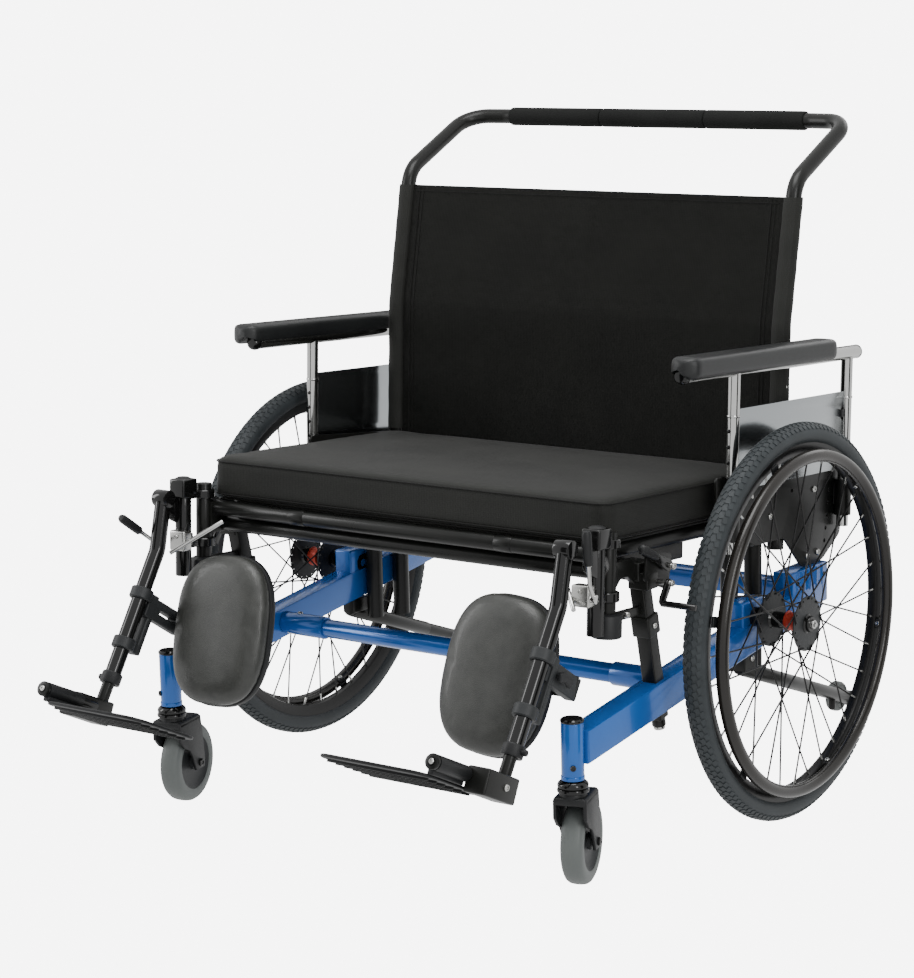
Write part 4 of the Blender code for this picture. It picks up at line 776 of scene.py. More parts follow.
def anti_tip(side):
    rod = bar(TIP_A, TIP_B, 0.0108, sides=32)
    sleeve = bar(TIP_A.lerp(TIP_B, 0.02), TIP_A.lerp(TIP_B, 0.60), 0.0118, sides=32)
    hang = block((BEAM_X - 0.0120, -0.022, 0.219), (BEAM_X + 0.0120, 0.020, beam_z(-0.03) - 0.0251), 0.0025)
    ear = bar(TIP_B + Vector((0.011, 0, 0)), TIP_B - Vector((0.011, 0, 0)), 0.0125, sides=32, soft=0.0015)
    spindle = bar(TIP_B, TIP_B - Vector((0.034, 0, 0)), 0.0038)
    push = bar(TIP_A.lerp(TIP_B, 0.84), TIP_A.lerp(TIP_B, 0.84) - Vector((0, 0, 0.026)), 0.0060)
    fit(f"anti_tip_bar_{side}", gather(rod, sleeve, hang, ear, spindle, push, place=BASE), BLACK, "chair",
        [f"anti_tip_tube_{side}"], side)
    bolt = gather(screw_head((BEAM_X + 0.012, 0.000, 0.238), (1, 0, 0), 0.0048),
                  screw_head(TIP_B + Vector((0.011, 0, 0)), (1, 0, 0), 0.0050),
                  screw_head(TIP_B - Vector((0.034, 0, 0)), (-1, 0, 0), 0.0050), place=BASE)
    fit(f"anti_tip_bolts_{side}", bolt, SCREW, "chair", (), side)
    half = [(0.0043, -0.0095), (0.0120, -0.0095), (0.0130, -0.0078), (0.0185, -0.0075), (0.0200, -0.0090),
            (0.0228, -0.0082), (0.0246, -0.0052), (0.0250, 0.0)]
    roller = turned(half + [(r, -h) for r, h in reversed(half[:-1])], 48, ring=True)
    place = BASE @ Matrix.Translation((BEAM_X - 0.0225, TIP_B.y, TIP_B.z)) @ ACROSS
    fit(f"anti_tip_roller_{side}", gather(roller, place=place), GREY, f"tip_wheel_{side}",
        [f"anti_tip_wheel_{side}"], side)


for side in SIDES:
    seat_post(side)
    anti_tip(side)
print("posts and anti-tip bars made")

# %% [markdown]
# The seat frame is black tube. Two cross tubes run in front, with an upright on each end that the leg rest hangs on;
# its lower end flares into a stop. The side rails carry the seat board, and a perforated plate on each side joins the
# seat to the base and holds the arm sockets. Holes let the maker set the seat's height, so they are really cut.

# %% Seat frame
front = [bar((-MOUNT_X, -0.3707, 0), (MOUNT_X, -0.3707, 0), TUBE, sides=36),
         bar((-MOUNT_X + 0.004, -0.3507, -0.027), (MOUNT_X - 0.004, -0.3507, -0.027), TUBE, sides=36)]
front += [bar((s * 0.18, -0.3707, 0), (s * 0.21, -0.3707, 0), TUBE + 0.0006, sides=36) for s in (1, -1)]
stops = []
for s in (1, -1):
    front.append(bar((s * MOUNT_X, MOUNT_U, -0.100), (s * MOUNT_X, MOUNT_U, 0.038), TUBE, sides=36))
    front.append(plate([(-0.384, 0.009), (-0.367, 0.010), (-0.341, -0.018), (-0.341, -0.040), (-0.384, -0.040)],
                       s * (MOUNT_X - 0.017), s * (MOUNT_X - 0.008), 0.0010))
    stop = turned([(0, -0.1145), (0.0205, -0.1145), (0.0220, -0.1130), (0.0220, -0.0840), (0.0205, -0.0815),
                   (0.0150, -0.0790), (0, -0.0790)], 40)
    stop.transform(Matrix.Translation((s * MOUNT_X, MOUNT_U, 0)))
    stops.append(stop)
fit("front_tubes", gather(*front, place=SEAT), BLACK, "chair", ["seat_front_tube"])
fit("leg_rest_stops", gather(*stops, place=SEAT), PLASTIC, "chair")
dots = [screw_head((s * MOUNT_X - 0.006 * s, MOUNT_U - 0.0205, -0.097), (0, -1, 0), 0.0026) for s in (1, -1)]
fit("stop_screws", gather(*dots, place=SEAT), SCREW, "chair")
back_bar = bar((-RAIL_X + TUBE, 0.085, 0), (RAIL_X - TUBE, 0.085, 0), TUBE, sides=36)
fit("rear_seat_bar", gather(back_bar, place=SEAT), BLACK, "chair", ["seat_rear_tube"])
board = block((-SEAT_HALF + 0.012, -0.362, 0.0128), (SEAT_HALF - 0.012, 0.093, 0.0169), 0.0015, 3)
# A thin sheet of the dark nylon hangs under the front edge of the board, between the two front tubes: it is painted
# shade that fills the gap there.
front_gap_shade_sheet = block((-0.332, -0.3572, -0.0150), (0.332, -0.3535, 0.0127), 0.0008)
fit("seat_board", gather(board, front_gap_shade_sheet, place=SEAT), NYLON, "chair", ["seat_pan"])


def side_rail(side):
    rail = bar((RAIL_X, -0.3367, 0), (RAIL_X, 0.300, 0), TUBE, sides=36, soft=0.0015)
    strip = block((RAIL_X - 0.006, -0.311, -0.036), (RAIL_X + 0.006, -0.130, -0.006), 0.0025)
    fit(f"side_rail_tube_{side}", gather(rail, strip, place=SEAT), BLACK, "chair",
        [f"seat_rail_{side}"], side)


def side_plate(side):
    foot = 0.3493
    outline = [(-0.100, 0.478), (0.014, 0.412), (0.105, 0.408), (0.163, foot), (0.228, foot), (0.290, 0.384),
               (0.292, 0.486), (0.200, 0.503), (-0.100, 0.538)]
    sheet = plate(outline, PLATE_X - 0.002, PLATE_X + 0.002, 0.0006, 0.009)
    holes = [(0.252 - 0.004 * i, 0.460 - 0.020 * i) for i in range(5)]
    holes += [(0.030 + 0.05 * i, 0.488 - 0.0045 * i) for i in range(3)]
    sheet = cut(sheet, gather(*[bar((PLATE_X - 0.01, y, z), (PLATE_X + 0.01, y, z), 0.0035, sides=16, soft=0)
                                for y, z in holes]))
    parts = [sheet]
    for y, low_z in ((0.010, 0.212), (0.083, 0.203)):
        tube = turned([(0.0105, low_z), (0.0140, low_z), (0.0140, 0.4225), (0, 0.4225), (0, low_z + 0.03),
                       (0.0105, low_z + 0.03)], 32)
        tube.transform(Matrix.Translation((RAIL_X + 0.002, y, 0)))
        parts += [tube, block((RAIL_X + 0.004, y - 0.007, 0.4118), (PLATE_X, y + 0.007, 0.4218), 0.0015)]
    whole = gather(*parts, place=BASE)
    sockets = []
    for u in (-0.081, 0.274):
        ring = turned([(0.0099, -0.012), (0.0132, -0.012), (0.0135, -0.010), (0.0135, 0.040), (0.0145, 0.042),
                       (0.0145, 0.046), (0.0099, 0.046)], 36, ring=True)
        ring.transform(Matrix.Translation((ARM_X, u, 0)))
        sockets += [ring, block((PLATE_X, u - 0.008, 0.004), (ARM_X - 0.0115, u + 0.008, 0.040), 0.0012)]
    both = gather(whole, gather(*sockets, place=SEAT))
    fit(f"side_plate_body_{side}", both, BLACK, "chair", [f"rear_plate_{side}"], side)
    heads = [screw_head((PLATE_X + 0.002, y, z), (1, 0, 0), 0.0052, 0.0034)
             for y, z in ((0.178, 0.366), (0.212, 0.366), (0.06, 0.45), (0.20, 0.47))]
    fit(f"side_plate_screws_{side}", gather(*heads, place=BASE), SCREW, "chair", (), side)


for side in SIDES:
    side_rail(side)
    side_plate(side)
print("seat frame made")

# %% [markdown]
# Each arm rest is a chrome top tube on two chrome posts. The front post has a row of snap holes, drawn as black discs
# whose dark is painted shade, and a collar at the height it is set to. A thin polished panel fills the gap and keeps
# clothes off the wheel; black clips hold it. The top tube ends in a round black cap in front, and the moulded pad sits
# on it.

# %% Arm rests
ARM_W = 0.249


def arm(side):
    top = bar((ARM_X, -0.2245, ARM_W), (ARM_X, 0.3035, ARM_W), 0.0110, sides=40, soft=0.0012)
    tubes = [top]
    for u in (-0.081, 0.274):
        tubes.append(bent_tube([(ARM_X, u, -0.030), (ARM_X, u, ARM_W - 0.004)], 0.0095, sides=36))
        tubes.append(bar((ARM_X, u, 0.176), (ARM_X, u, 0.180), 0.0104, sides=36))
    fit(f"arm_tubes_{side}", gather(*tubes, place=SEAT), CHROME, f"arm_{side}", [f"arm_frame_{side}"], side)
    # The snap holes are not cut: small gloss black discs on the front of the post stand in for them, and their dark is
    # painted shade.
    marks = [bar((ARM_X - 0.0010, -0.0905 + 0.0007, w), (ARM_X - 0.0010, -0.0918, w), 0.0030, sides=16, soft=0.0004)
             for w in (0.060, 0.084, 0.108, 0.132, 0.156)]
    fit(f"snap_hole_shade_{side}", gather(*marks, place=SEAT), GLOSS, f"arm_{side}", (), side)
    cap = turned([(0, 0), (0.0112, 0), (0.0122, 0.0020), (0.0124, 0.0075), (0.0112, 0.0120), (0.0080, 0.0150),
                  (0, 0.0162)], 36)
    cap.transform(Matrix.Translation((ARM_X, -0.2240, ARM_W)) @ Matrix.Rotation(pi / 2, 4, "X"))
    rear = turned([(0, 0), (0.0108, 0), (0.0112, 0.0008), (0.0105, 0.0022), (0, 0.0026)], 32)
    rear.transform(Matrix.Translation((ARM_X, 0.3030, ARM_W)) @ Matrix.Rotation(-pi / 2, 4, "X"))
    fit(f"arm_tube_caps_{side}", gather(cap, rear, place=SEAT), GLOSS, f"arm_{side}", (), side)
    panel = plate([(-0.0712, 0.064), (0.2642, 0.064), (0.2642, 0.092), (0.2560, 0.098), (0.2560, 0.112),
                   (0.2642, 0.118), (0.2642, 0.140), (0.2560, 0.146), (0.2560, 0.160), (0.2642, 0.166),
                   (0.2642, 0.188), (-0.0712, 0.188)], ARM_X - 0.0010, ARM_X + 0.0010, 0.0004)
    fit(f"side_panel_{side}", gather(panel, place=SEAT), PANEL, f"arm_{side}", [f"skirt_panel_{side}"],
        side)
    clips = [block((ARM_X - 0.0040, 0.2550, w), (ARM_X + 0.0040, 0.2640, w + 0.012), 0.0015) for w in (0.099, 0.147)]
    clips += [block((ARM_X - 0.0030, -0.0715, w), (ARM_X + 0.0030, -0.0665, w + 0.010), 0.0012)
              for w in (0.076, 0.168)]
    fit(f"panel_clips_{side}", gather(*clips, place=SEAT), PLASTIC, f"arm_{side}", (), side)


for side in SIDES:
    arm(side)
print("arm rests made")

# %% [markdown]
# The back frame is one bent tube: it rises from the seat rails, leans back a little above the lower cushion line and
# turns in at the top to make a push bar. A thick matt black foam grip in three sections covers the bar.

# %% Back frame and push bar
def lean(w):
    return 0.112 + max(0.0, w - 0.300) * tan(radians(8))


GRIP_U, GRIP_W = 0.3272, 0.6138
half_route = [(0.3735, 0.112, -0.050), (0.3735, 0.112, 0.300), (0.3735, lean(0.522), 0.522), (0.3735, 0.3108, 0.6133),
              (0.301, GRIP_U, GRIP_W)]
route = half_route + [(-x, u, w) for x, u, w in reversed(half_route)]
frame_tube = bent_tube(route, TUBE, 0.050, sides=32, steps=12)
feet = [bar((s * 0.3735, 0.112, -0.0505), (s * 0.3735, 0.112, -0.030), TUBE + 0.0004, sides=32) for s in (1, -1)]
links = [block((min(s * 0.352, s * 0.372), 0.102, -0.009), (max(s * 0.352, s * 0.372), 0.122, 0.009), 0.0020)
         for s in (1, -1)]
fit("back_tube", gather(frame_tube, *feet, *links, place=SEAT), BLACK, "chair", ["back_frame"])
marks = [screw_head((s * (0.3735 + TUBE - 0.0004), lean(w), w), (s, 0, 0), 0.0046, 0.0026) for s in (1, -1)
         for w in (0.02, 0.205)]
fit("back_tube_screws", gather(*marks, place=SEAT), SCREW, "chair")
grip_parts = []
for low_x, high_x in ((-0.289, -0.1030), (-0.1020, 0.1020), (0.1030, 0.289)):
    span = high_x - low_x
    piece = turned([(0, 0), (0.0138, 0), (0.0152, 0.0012), (0.0156, 0.0040), (0.0156, span - 0.0040),
                    (0.0152, span - 0.0012), (0.0138, span), (0, span)], 40)
    piece.transform(Matrix.Translation((low_x, GRIP_U, GRIP_W)) @ ACROSS)
    grip_parts.append(piece)
fit("push_bar_grip", gather(*grip_parts, place=SEAT), FOAM, "chair", ["push_grip"])
print("back frame made")

# %% [markdown]
# The wheel lock is a flat lever with a round knob in front of a flat link, and a bright bar that the link swings
# against the tyre.

# %% Wheel locks
def lock(side):
    knee, tip = Vector((0.412, -0.298, 0.454)), Vector((0.412, -0.344, 0.477))
    lever = plate([(-0.2600, 0.4330), (-0.2625, 0.4455), (-0.2960, 0.4600), (-0.3400, 0.4815), (-0.3480, 0.4700),
                   (-0.2985, 0.4460), (-0.2735, 0.4300)], 0.4098, 0.4142, 0.0009, 0.004)
    fit(f"lock_lever_arm_{side}", gather(lever, place=BASE), GLOSS, f"lock_lever_{side}",
        [f"brake_lever_{side}"], side)
    along = (tip - knee).normalized()
    handle = turned([(0, 0), (0.0052, 0), (0.0060, 0.0030), (0.0064, 0.0150), (0.0070, 0.0320), (0.0070, 0.0400),
                     (0.0058, 0.0445), (0.0030, 0.0465), (0, 0.0469)], 32)
    turn = Vector((0, 0, 1)).rotation_difference(along).to_matrix().to_4x4()
    handle.transform(Matrix.Translation(knee + along * 0.010 + Vector((0.0025, 0, 0))) @ turn)
    fit(f"lock_lever_knob_{side}", gather(handle, place=BASE), PLASTIC, f"lock_lever_{side}", (),
        side)
    link = plate([(-0.2840, 0.4235), (-0.2865, 0.4110), (-0.3045, 0.3870), (-0.3145, 0.3905), (-0.3150, 0.3990),
                  (-0.2955, 0.4245)], 0.4218, 0.4262, 0.0009, 0.004)
    rod = bar((0.4230, -0.3090, 0.3915), (0.4812, -0.3090, 0.3915), 0.0048, sides=28, soft=0.0012)
    fit(f"lock_shoe_bar_{side}", gather(link, rod, place=BASE), GLOSS, f"lock_shoe_{side}",
        [f"brake_shoe_{side}"], side)


for side in SIDES:
    lock(side)
print("wheel locks made")

# %% [markdown]
# Each leg rest hangs from the front upright on two rings. A glossy bracket ties its own post to the rings and carries
# the raising lock, whose thin rod and release lever show in front. Below the knee joint the leg is a straight black
# tube with a collar at the end.

# %% Leg rest hangers
def hanger(side):
    post = bar((HANGER_X, HANGER_U, -0.105), (HANGER_X, HANGER_U, 0.044), TUBE, sides=36)
    cap = turned([(0, 0), (0.0125, 0), (0.0133, 0.0010), (0.0125, 0.0050), (0.0085, 0.0072), (0, 0.0078)], 36)
    cap.transform(Matrix.Translation((HANGER_X, HANGER_U, 0.0445)))
    parts = [post]
    for low_w, high_w in ((0.0155, 0.0285), (-0.0620, -0.0480)):
        ring = turned([(0.0131, low_w), (0.0165, low_w), (0.0175, low_w + 0.0012), (0.0175, high_w - 0.0012),
                       (0.0165, high_w), (0.0131, high_w)], 40, ring=True)
        ring.transform(Matrix.Translation((MOUNT_X, MOUNT_U, 0)))
        parts += [ring, block((MOUNT_X - 0.006, HANGER_U + 0.006, low_w + 0.001),
                              (MOUNT_X + 0.010, MOUNT_U - 0.0145, high_w - 0.001), 0.0020)]
    cheek = plate([(-0.3990, -0.0100), (-0.4100, 0.0140), (-0.4350, 0.0240), (-0.4620, 0.0120), (-0.4640, -0.0060),
                   (-0.4480, -0.0140), (-0.4180, -0.0280)], HANGER_X + 0.0028, HANGER_X + 0.0082, 0.0012, 0.006)
    body = block((0.3622, -0.4498, -0.0618), (0.3928, -0.4302, -0.0302), 0.0028, 3)
    neck = block((0.3700, -0.4345, -0.0560), (0.3900, -0.4180, -0.0360), 0.0020)
    head = block((0.3712, -0.4395, 0.0190), (0.4022, -0.4065, 0.0490), 0.0030, 3)
    fit(f"lock_body_{side}", gather(body, place=SEAT), SCREW, f"hanger_{side}", (), side)
    fit(f"hanger_body_{side}", gather(*parts, neck, cheek, head, place=SEAT), GLOSS, f"hanger_{side}",
        [f"legrest_hanger_{side}"], side)
    fit(f"hanger_cap_{side}", gather(cap, place=SEAT), PLASTIC, f"hanger_{side}", (), side)
    bolts = [screw_head((HANGER_X + 0.0082, -0.4560, 0.0040), (1, 0, 0), 0.0062, 0.0040),
             screw_head((0.3775, -0.4498, -0.0390), (0, -1, 0), 0.0034, 0.0024)]
    fit(f"hanger_bolts_{side}", gather(*bolts, place=SEAT), SCREW, f"hanger_{side}", (), side)


def release(side):
    turn = Matrix.Rotation(radians(0 if side == "left" else 50), 4, "X")
    place = SEAT @ Matrix.Translation((0, -0.455, -0.046)) @ turn
    shaft = bent_tube([(0.4055, 0, 0), (0.4055, -0.012, 0.020), (0.4055, -0.020, 0.075)], 0.0032, 0.008, sides=16,
                      steps=5)
    eye = bar((0.4015, 0, 0), (0.4095, 0, 0), 0.0068, sides=28, soft=0.0008)
    fit(f"release_shaft_{side}", gather(shaft, eye, place=place), CHROME, f"release_{side}", (), side)
    start, end = Vector((0.4055, -0.0165, 0.050)), Vector((0.4055, -0.0235, 0.100))
    length = (end - start).length
    grip = turned([(0, 0), (0.0058, 0), (0.0066, 0.0012), (0.0070, 0.012), (0.0070, length - 0.006),
                   (0.0052, length - 0.001), (0, length)], 28)
    grip.transform(Matrix.Translation(start)
                   @ Vector((0, 0, 1)).rotation_difference(end - start).to_matrix().to_4x4())
    fit(f"release_grip_{side}", gather(grip, place=place), PLASTIC, f"release_{side}",
        [f"release_lever_{side}"], side)


def lock_rod(side):
    rod = bar((0.318, -0.408, -0.014), (0.378, -0.465, -0.0635), 0.0035, sides=20, soft=0.0008)
    fit(f"lock_rod_bar_{side}", gather(rod, place=SEAT), CHROME, f"lock_rod_{side}",
        [f"elevation_rod_{side}"], side)


def leg(side):
    top = Matrix.Rotation(radians(29.7), 4, "X") @ Vector((0, 0.0145, 0.079))
    tube = bent_tube([tuple(top), (0, 0, 0), (0, 0, -0.2120)], TUBE, 0.040, sides=36, steps=10)
    eye = bar(top - Vector((0.0135, 0, 0)), top + Vector((0.0135, 0, 0)), 0.0137, sides=36, soft=0.0016)
    collar = turned([(0.0102, -0.2220), (0.0152, -0.2220), (0.0160, -0.2205), (0.0160, -0.2060), (0.0145, -0.2040),
                     (0.0102, -0.2040)], 40, ring=True)
    knob = bar((0.0120, 0, -0.2130), (0.0230, 0, -0.2130), 0.0048, sides=20, soft=0.0010)
    fit(f"leg_tube_body_{side}", gather(tube, eye, place=LEG), GLOSS, f"leg_{side}",
        [f"leg_tube_{side}"], side)
    fit(f"leg_collar_{side}", gather(collar, knob, place=LEG), PLASTIC, f"leg_{side}", (), side)


for side in SIDES:
    hanger(side)
    release(side)
    lock_rod(side)
    leg(side)
print("leg rests made")

# %% [markdown]
# A clamp with two rings rides on each leg tube and reaches forward and inward to the calf pad. A slotted plate and a
# wing knob on the clamp set how far the pad stands from the leg.

# %% Calf brackets
def calf_bracket(side):
    parts = []
    for low_z, high_z in ((-0.165, -0.147), (-0.083, -0.065)):
        ring = turned([(0.0129, low_z), (0.0162, low_z), (0.0178, low_z + 0.0018), (0.0178, high_z - 0.0018),
                       (0.0162, high_z), (0.0129, high_z)], 40, ring=True)
        parts.append(ring)
        parts.append(block((-0.0100, 0.0135, low_z + 0.0010), (0.0090, 0.0310, high_z - 0.0010), 0.0020))
    spine = block((-0.0105, 0.0205, -0.1640), (0.0095, 0.0325, -0.0660), 0.0030, 3)
    parts += [block((-0.0112, 0.0220, z), (0.0102, 0.0300, z + 0.0060), 0.0012) for z in (-0.1400, -0.1250, -0.1100)]
    reach = block((-0.0118, 0.0105, -0.1038), (0.0058, 0.1030, -0.0702), 0.0022, 3)
    slot = block((-0.02, 0.040, -0.0905), (0.02, 0.082, -0.0835), 0.0030)
    reach = cut(reach, slot)
    fit(f"calf_clamp_{side}", gather(*parts, spine, reach, place=LEG), GREYPLASTIC, f"calf_{side}",
        [f"calf_bracket_{side}"], side)
    back = block((-0.1500, 0.0008, -0.0163), (0.0043, 0.0083, 0.0163), 0.0022, 3)
    boss = bar((-0.1155, 0.0080, 0), (-0.1155, 0.0125, 0), 0.0125, sides=32, soft=0.0010)
    hinge = bar((0, 0.0060, -0.0160), (0, 0.0060, 0.0160), 0.0062, sides=24)
    fit(f"calf_back_plate_{side}", gather(back, boss, hinge, place=CALF), BLACK, f"calf_{side}", (),
        side)
    wing = [bar((0.0058, 0.048, -0.0870), (0.0150, 0.048, -0.0870), 0.0075, sides=24, soft=0.0010),
            plate([(0.0330, -0.0990), (0.0420, -0.0930), (0.0540, -0.0930), (0.0630, -0.0990), (0.0660, -0.0860),
                   (0.0560, -0.0800), (0.0400, -0.0800), (0.0300, -0.0860)], 0.0120, 0.0190, 0.0016, 0.004)]
    fit(f"calf_wing_knob_{side}", gather(*wing, place=LEG), PLASTIC, f"calf_{side}", (), side)
    fit(f"calf_screws_{side}", gather(screw_head((-0.1155, 0.0123, 0), (0, 1, 0), 0.0055, 0.0030),
                                      screw_head((-0.030, 0.0081, 0), (0, 1, 0), 0.0042, 0.0026), place=CALF),
        SCREW, f"calf_{side}", (), side)


for side in SIDES:
    calf_bracket(side)
print("calf brackets made")

# %% [markdown]
# The foot tube slides out of the leg tube and ends in a short bracket with a bar to the front; the footplate's sleeve
# turns on that bar. The footplate itself is a moulded board with rounded corners, a rolled rim and ribs below.

# %% Foot tubes and footplates
def foot_tube(side):
    up = FOOT.inverted() @ LEG
    parts = [block((-0.0168, -0.0655, -0.0118), (0.0198, 0.0128, 0.0255), 0.0030, 3)]
    parts.append(bar(up @ Vector((0, 0, -0.098)), (0.0, 0.0, 0.018), 0.0095, sides=36))
    parts.append(bar((-0.017, -0.030, 0.012), (-0.017, -0.150, 0.012), 0.0074, sides=28))
    parts.append(bar((-0.017, -0.1435, 0.012), (-0.017, -0.1500, 0.012), 0.0114, sides=32, soft=0.0016))
    fit(f"foot_tube_body_{side}", gather(*parts, place=FOOT), BLACK, f"foot_{side}",
        [f"foot_tube_{side}"], side)
    heads = [screw_head((0.0198, -0.018, 0.008), (1, 0, 0), 0.0052, 0.0032),
             screw_head((-0.017, -0.1500, 0.012), (0, -1, 0), 0.0042, 0.0020)]
    fit(f"foot_tube_screws_{side}", gather(*heads, place=FOOT), SCREW, f"foot_{side}", (), side)


def lying(outline, low_z, high_z, soft, corner):
    bm = plate([(-y, x) for x, y in outline], low_z, high_z, soft, corner)
    bm.transform(Matrix(((0, 0, 1, 0), (0, -1, 0, 0), (1, 0, 0, 0), (0, 0, 0, 1))))
    return bm


def foot_board(side):
    low_x, high_x, low_y, high_y = -0.2120, -0.0205, -0.1520, -0.0020
    board = lying([(low_x, low_y), (high_x, low_y), (high_x, high_y), (low_x, high_y)], -0.0080, -0.0042, 0.0012,
                  0.028)
    rim_outer = lying([(low_x, low_y), (high_x, low_y), (high_x, high_y), (low_x, high_y)], -0.0092, -0.0040,
                      0.0020, 0.028)
    ribs = [block((low_x + 0.010, y, -0.0130), (high_x - 0.010, y + 0.003, -0.0070), 0.0008)
            for y in [low_y + 0.022 + 0.0205 * i for i in range(6)]]
    sleeve = turned([(0.0079, 0.0), (0.0112, 0.0), (0.0115, 0.0010), (0.0115, 0.0744), (0.0112, 0.0754),
                     (0.0079, 0.0754)], 36, ring=True)
    sleeve.transform(Matrix.Translation((-0.017, -0.0668, 0.012)) @ Matrix.Rotation(pi / 2, 4, "X"))
    web = block((-0.0262, -0.1415, -0.0050), (-0.0150, -0.0675, 0.0030), 0.0018)
    fit(f"footplate_board_{side}", gather(board, rim_outer, *ribs, web, sleeve, place=FOOT), PLASTIC,
        f"plate_{side}", [f"footplate_{side}"], side)


for side in SIDES:
    foot_tube(side)
    foot_board(side)
print("footplates made")

# %% [markdown]
# The soft parts. The seat cushion is a foam slab in a nylon cover: it is remeshed finely, swelled a little with a cloth
# simulation so that the top crowns and the sides pull in between the corners, and its bottom stays flat on the board.
# A piping runs round the top and bottom edges.

# %% Seat cushion
CUSHION_FRONT, CUSHION_REAR, CUSHION_LOW, CUSHION_TOP = -0.378, 0.093, 0.0172, 0.0815


def ring_outline(half_x, half_y, corner, steps=8):
    points = []
    for k, (sx, sy) in enumerate(((1, 1), (-1, 1), (-1, -1), (1, -1))):
        for i in range(steps + 1):
            a = pi / 2 * (k + i / steps)
            points.append((sx * (half_x - corner) + corner * cos(a), sy * (half_y - corner) + corner * sin(a)))
    return points


def layered(outline, half_x, half_y, layers):
    """A closed form from copies of one outline, each drawn in by an amount and set at a height."""
    bm = bmesh.new()
    rings = []
    for inset, z in layers:
        sx, sy = (half_x - inset) / half_x, (half_y - inset) / half_y
        rings.append([bm.verts.new((x * sx, y * sy, z)) for x, y in outline])
    for low, high in zip(rings, rings[1:]):
        for i in range(len(low)):
            j = (i + 1) % len(low)
            bm.faces.new((low[i], low[j], high[j], high[i]))
    bm.faces.new(list(reversed(rings[0])))
    bm.faces.new(rings[-1])
    bmesh.ops.recalc_face_normals(bm, faces=bm.faces)
    return bm


def swell(bm, voxel, pressure, cap, keep_low):
    """Remesh a form, fill it with a little air, and cap how far each point moves."""
    mesh = bpy.data.meshes.new("swell")
    bm.to_mesh(mesh)
    bm.free()
    obj = bpy.data.objects.new("swell", mesh)
    bpy.context.scene.collection.objects.link(obj)
    remesh = obj.modifiers.new("remesh", "REMESH")
    remesh.mode, remesh.voxel_size = "VOXEL", voxel
    shape = bpy.data.meshes.new_from_object(obj.evaluated_get(bpy.context.evaluated_depsgraph_get()))
    obj.modifiers.clear()
    obj.data = shape
    before = [v.co.copy() for v in shape.vertices]
    cloth = obj.modifiers.new("cloth", "CLOTH")
    cloth.settings.quality = 6
    cloth.settings.use_pressure = True
    cloth.settings.uniform_pressure_force = pressure
    cloth.settings.effector_weights.gravity = 0
    cloth.collision_settings.use_collision = False
    scene = bpy.context.scene
    for frame in range(1, 21):
        scene.frame_set(frame)
    moved = bpy.data.meshes.new_from_object(obj.evaluated_get(bpy.context.evaluated_depsgraph_get()))
    obj.modifiers.clear()
    obj.data = moved
    scene.frame_set(1)
    result = bmesh.new()
    result.from_mesh(obj.data)
    result.verts.ensure_lookup_table()
    low = min(v.z for v in before)
    for vert, old in zip(result.verts, before):
        shift = vert.co - old
        if shift.length > cap:
            shift = shift.normalized() * cap
        if keep_low and old.z < low + 0.004:
            shift.z = 0.0
        vert.co = old + shift
    bmesh.ops.smooth_vert(result, verts=result.verts, factor=0.5, use_axis_x=True, use_axis_y=True, use_axis_z=True)
    bpy.data.objects.remove(obj)
    return result


half_u = (CUSHION_REAR - CUSHION_FRONT) / 2
middle = Matrix.Translation((0, (CUSHION_REAR + CUSHION_FRONT) / 2, CUSHION_LOW))
thick = CUSHION_TOP - CUSHION_LOW
half_x = SEAT_HALF + 0.0015
outline = ring_outline(half_x, half_u, 0.026)
form = layered(outline, half_x, half_u, [(0.004, 0.0006), (0.0006, 0.0040), (0.0, 0.0120), (0.0006, thick / 2),
                                         (0.0, thick - 0.0120), (0.0020, thick - 0.0050), (0.0080, thick - 0.0012),
                                         (0.060, thick + 0.0008)])
pad = swell(form, 0.0055, 3.0, 0.0022, True)
cushion = fit("cushion_cover", gather(pad, place=SEAT @ middle), NYLON, "chair", ["seat_cushion"])
smooth = cushion.modifiers.new("smooth", "SUBSURF")
smooth.levels = smooth.render_levels = 1


def piping(outline, z, radius, inset, half_x, half_y):
    """A thin welt that runs once round an outline."""
    bm = bmesh.new()
    count = len(outline)
    sx, sy = (half_x - inset) / half_x, (half_y - inset) / half_y
    centre = [Vector((x * sx, y * sy, z)) for x, y in outline]
    rings = []
    for i, here in enumerate(centre):
        ahead = (centre[(i + 1) % count] - centre[i - 1]).normalized()
        out = ahead.cross(Vector((0, 0, 1)))
        rings.append([bm.verts.new(here + out * radius * cos(2 * pi * k / 10)
                                   + Vector((0, 0, radius * sin(2 * pi * k / 10)))) for k in range(10)])
    for i in range(count):
        a, b = rings[i], rings[(i + 1) % count]
        for k in range(10):
            m = (k + 1) % 10
            bm.faces.new((a[k], a[m], b[m], b[k]))
    bmesh.ops.recalc_face_normals(bm, faces=bm.faces)
    return bm


welt_line = ring_outline(half_x, half_u, 0.026, 12)
welts = [piping(welt_line, z, 0.0013, 0.0019, half_x, half_u) for z in (thick - 0.0075, 0.0060)]
fit("cushion_piping", gather(*welts, place=SEAT @ middle), TRIM, "chair")
print("cushion made:", len(cushion.data.polygons), "faces")

# %% [markdown]
# The back is one piece of stretched nylon between the tubes. It wraps round each tube as a pocket and a welt is sewn
# beside it; the cloth sags back very slightly in the middle, with a few soft folds that run in from the tubes.

# %% Back upholstery
BACK_LOW, BACK_HIGH, POCKET_LOW = 0.0300, 0.4975, 0.0825


def back_cloth(x, w):
    """Where the cloth lies in front of the tubes at a place across and up."""
    span = min(1.0, abs(x) / 0.345)
    belly = 0.0036 * (1 - span ** 2) * sin(pi * min(1, max(0, (w - BACK_LOW) / (BACK_HIGH - BACK_LOW))))
    fold = 0.0007 * sin(58 * w + 9 * abs(x)) * span ** 3 * (1 - span ** 8)
    return lean(w) - 0.0036 + belly + fold


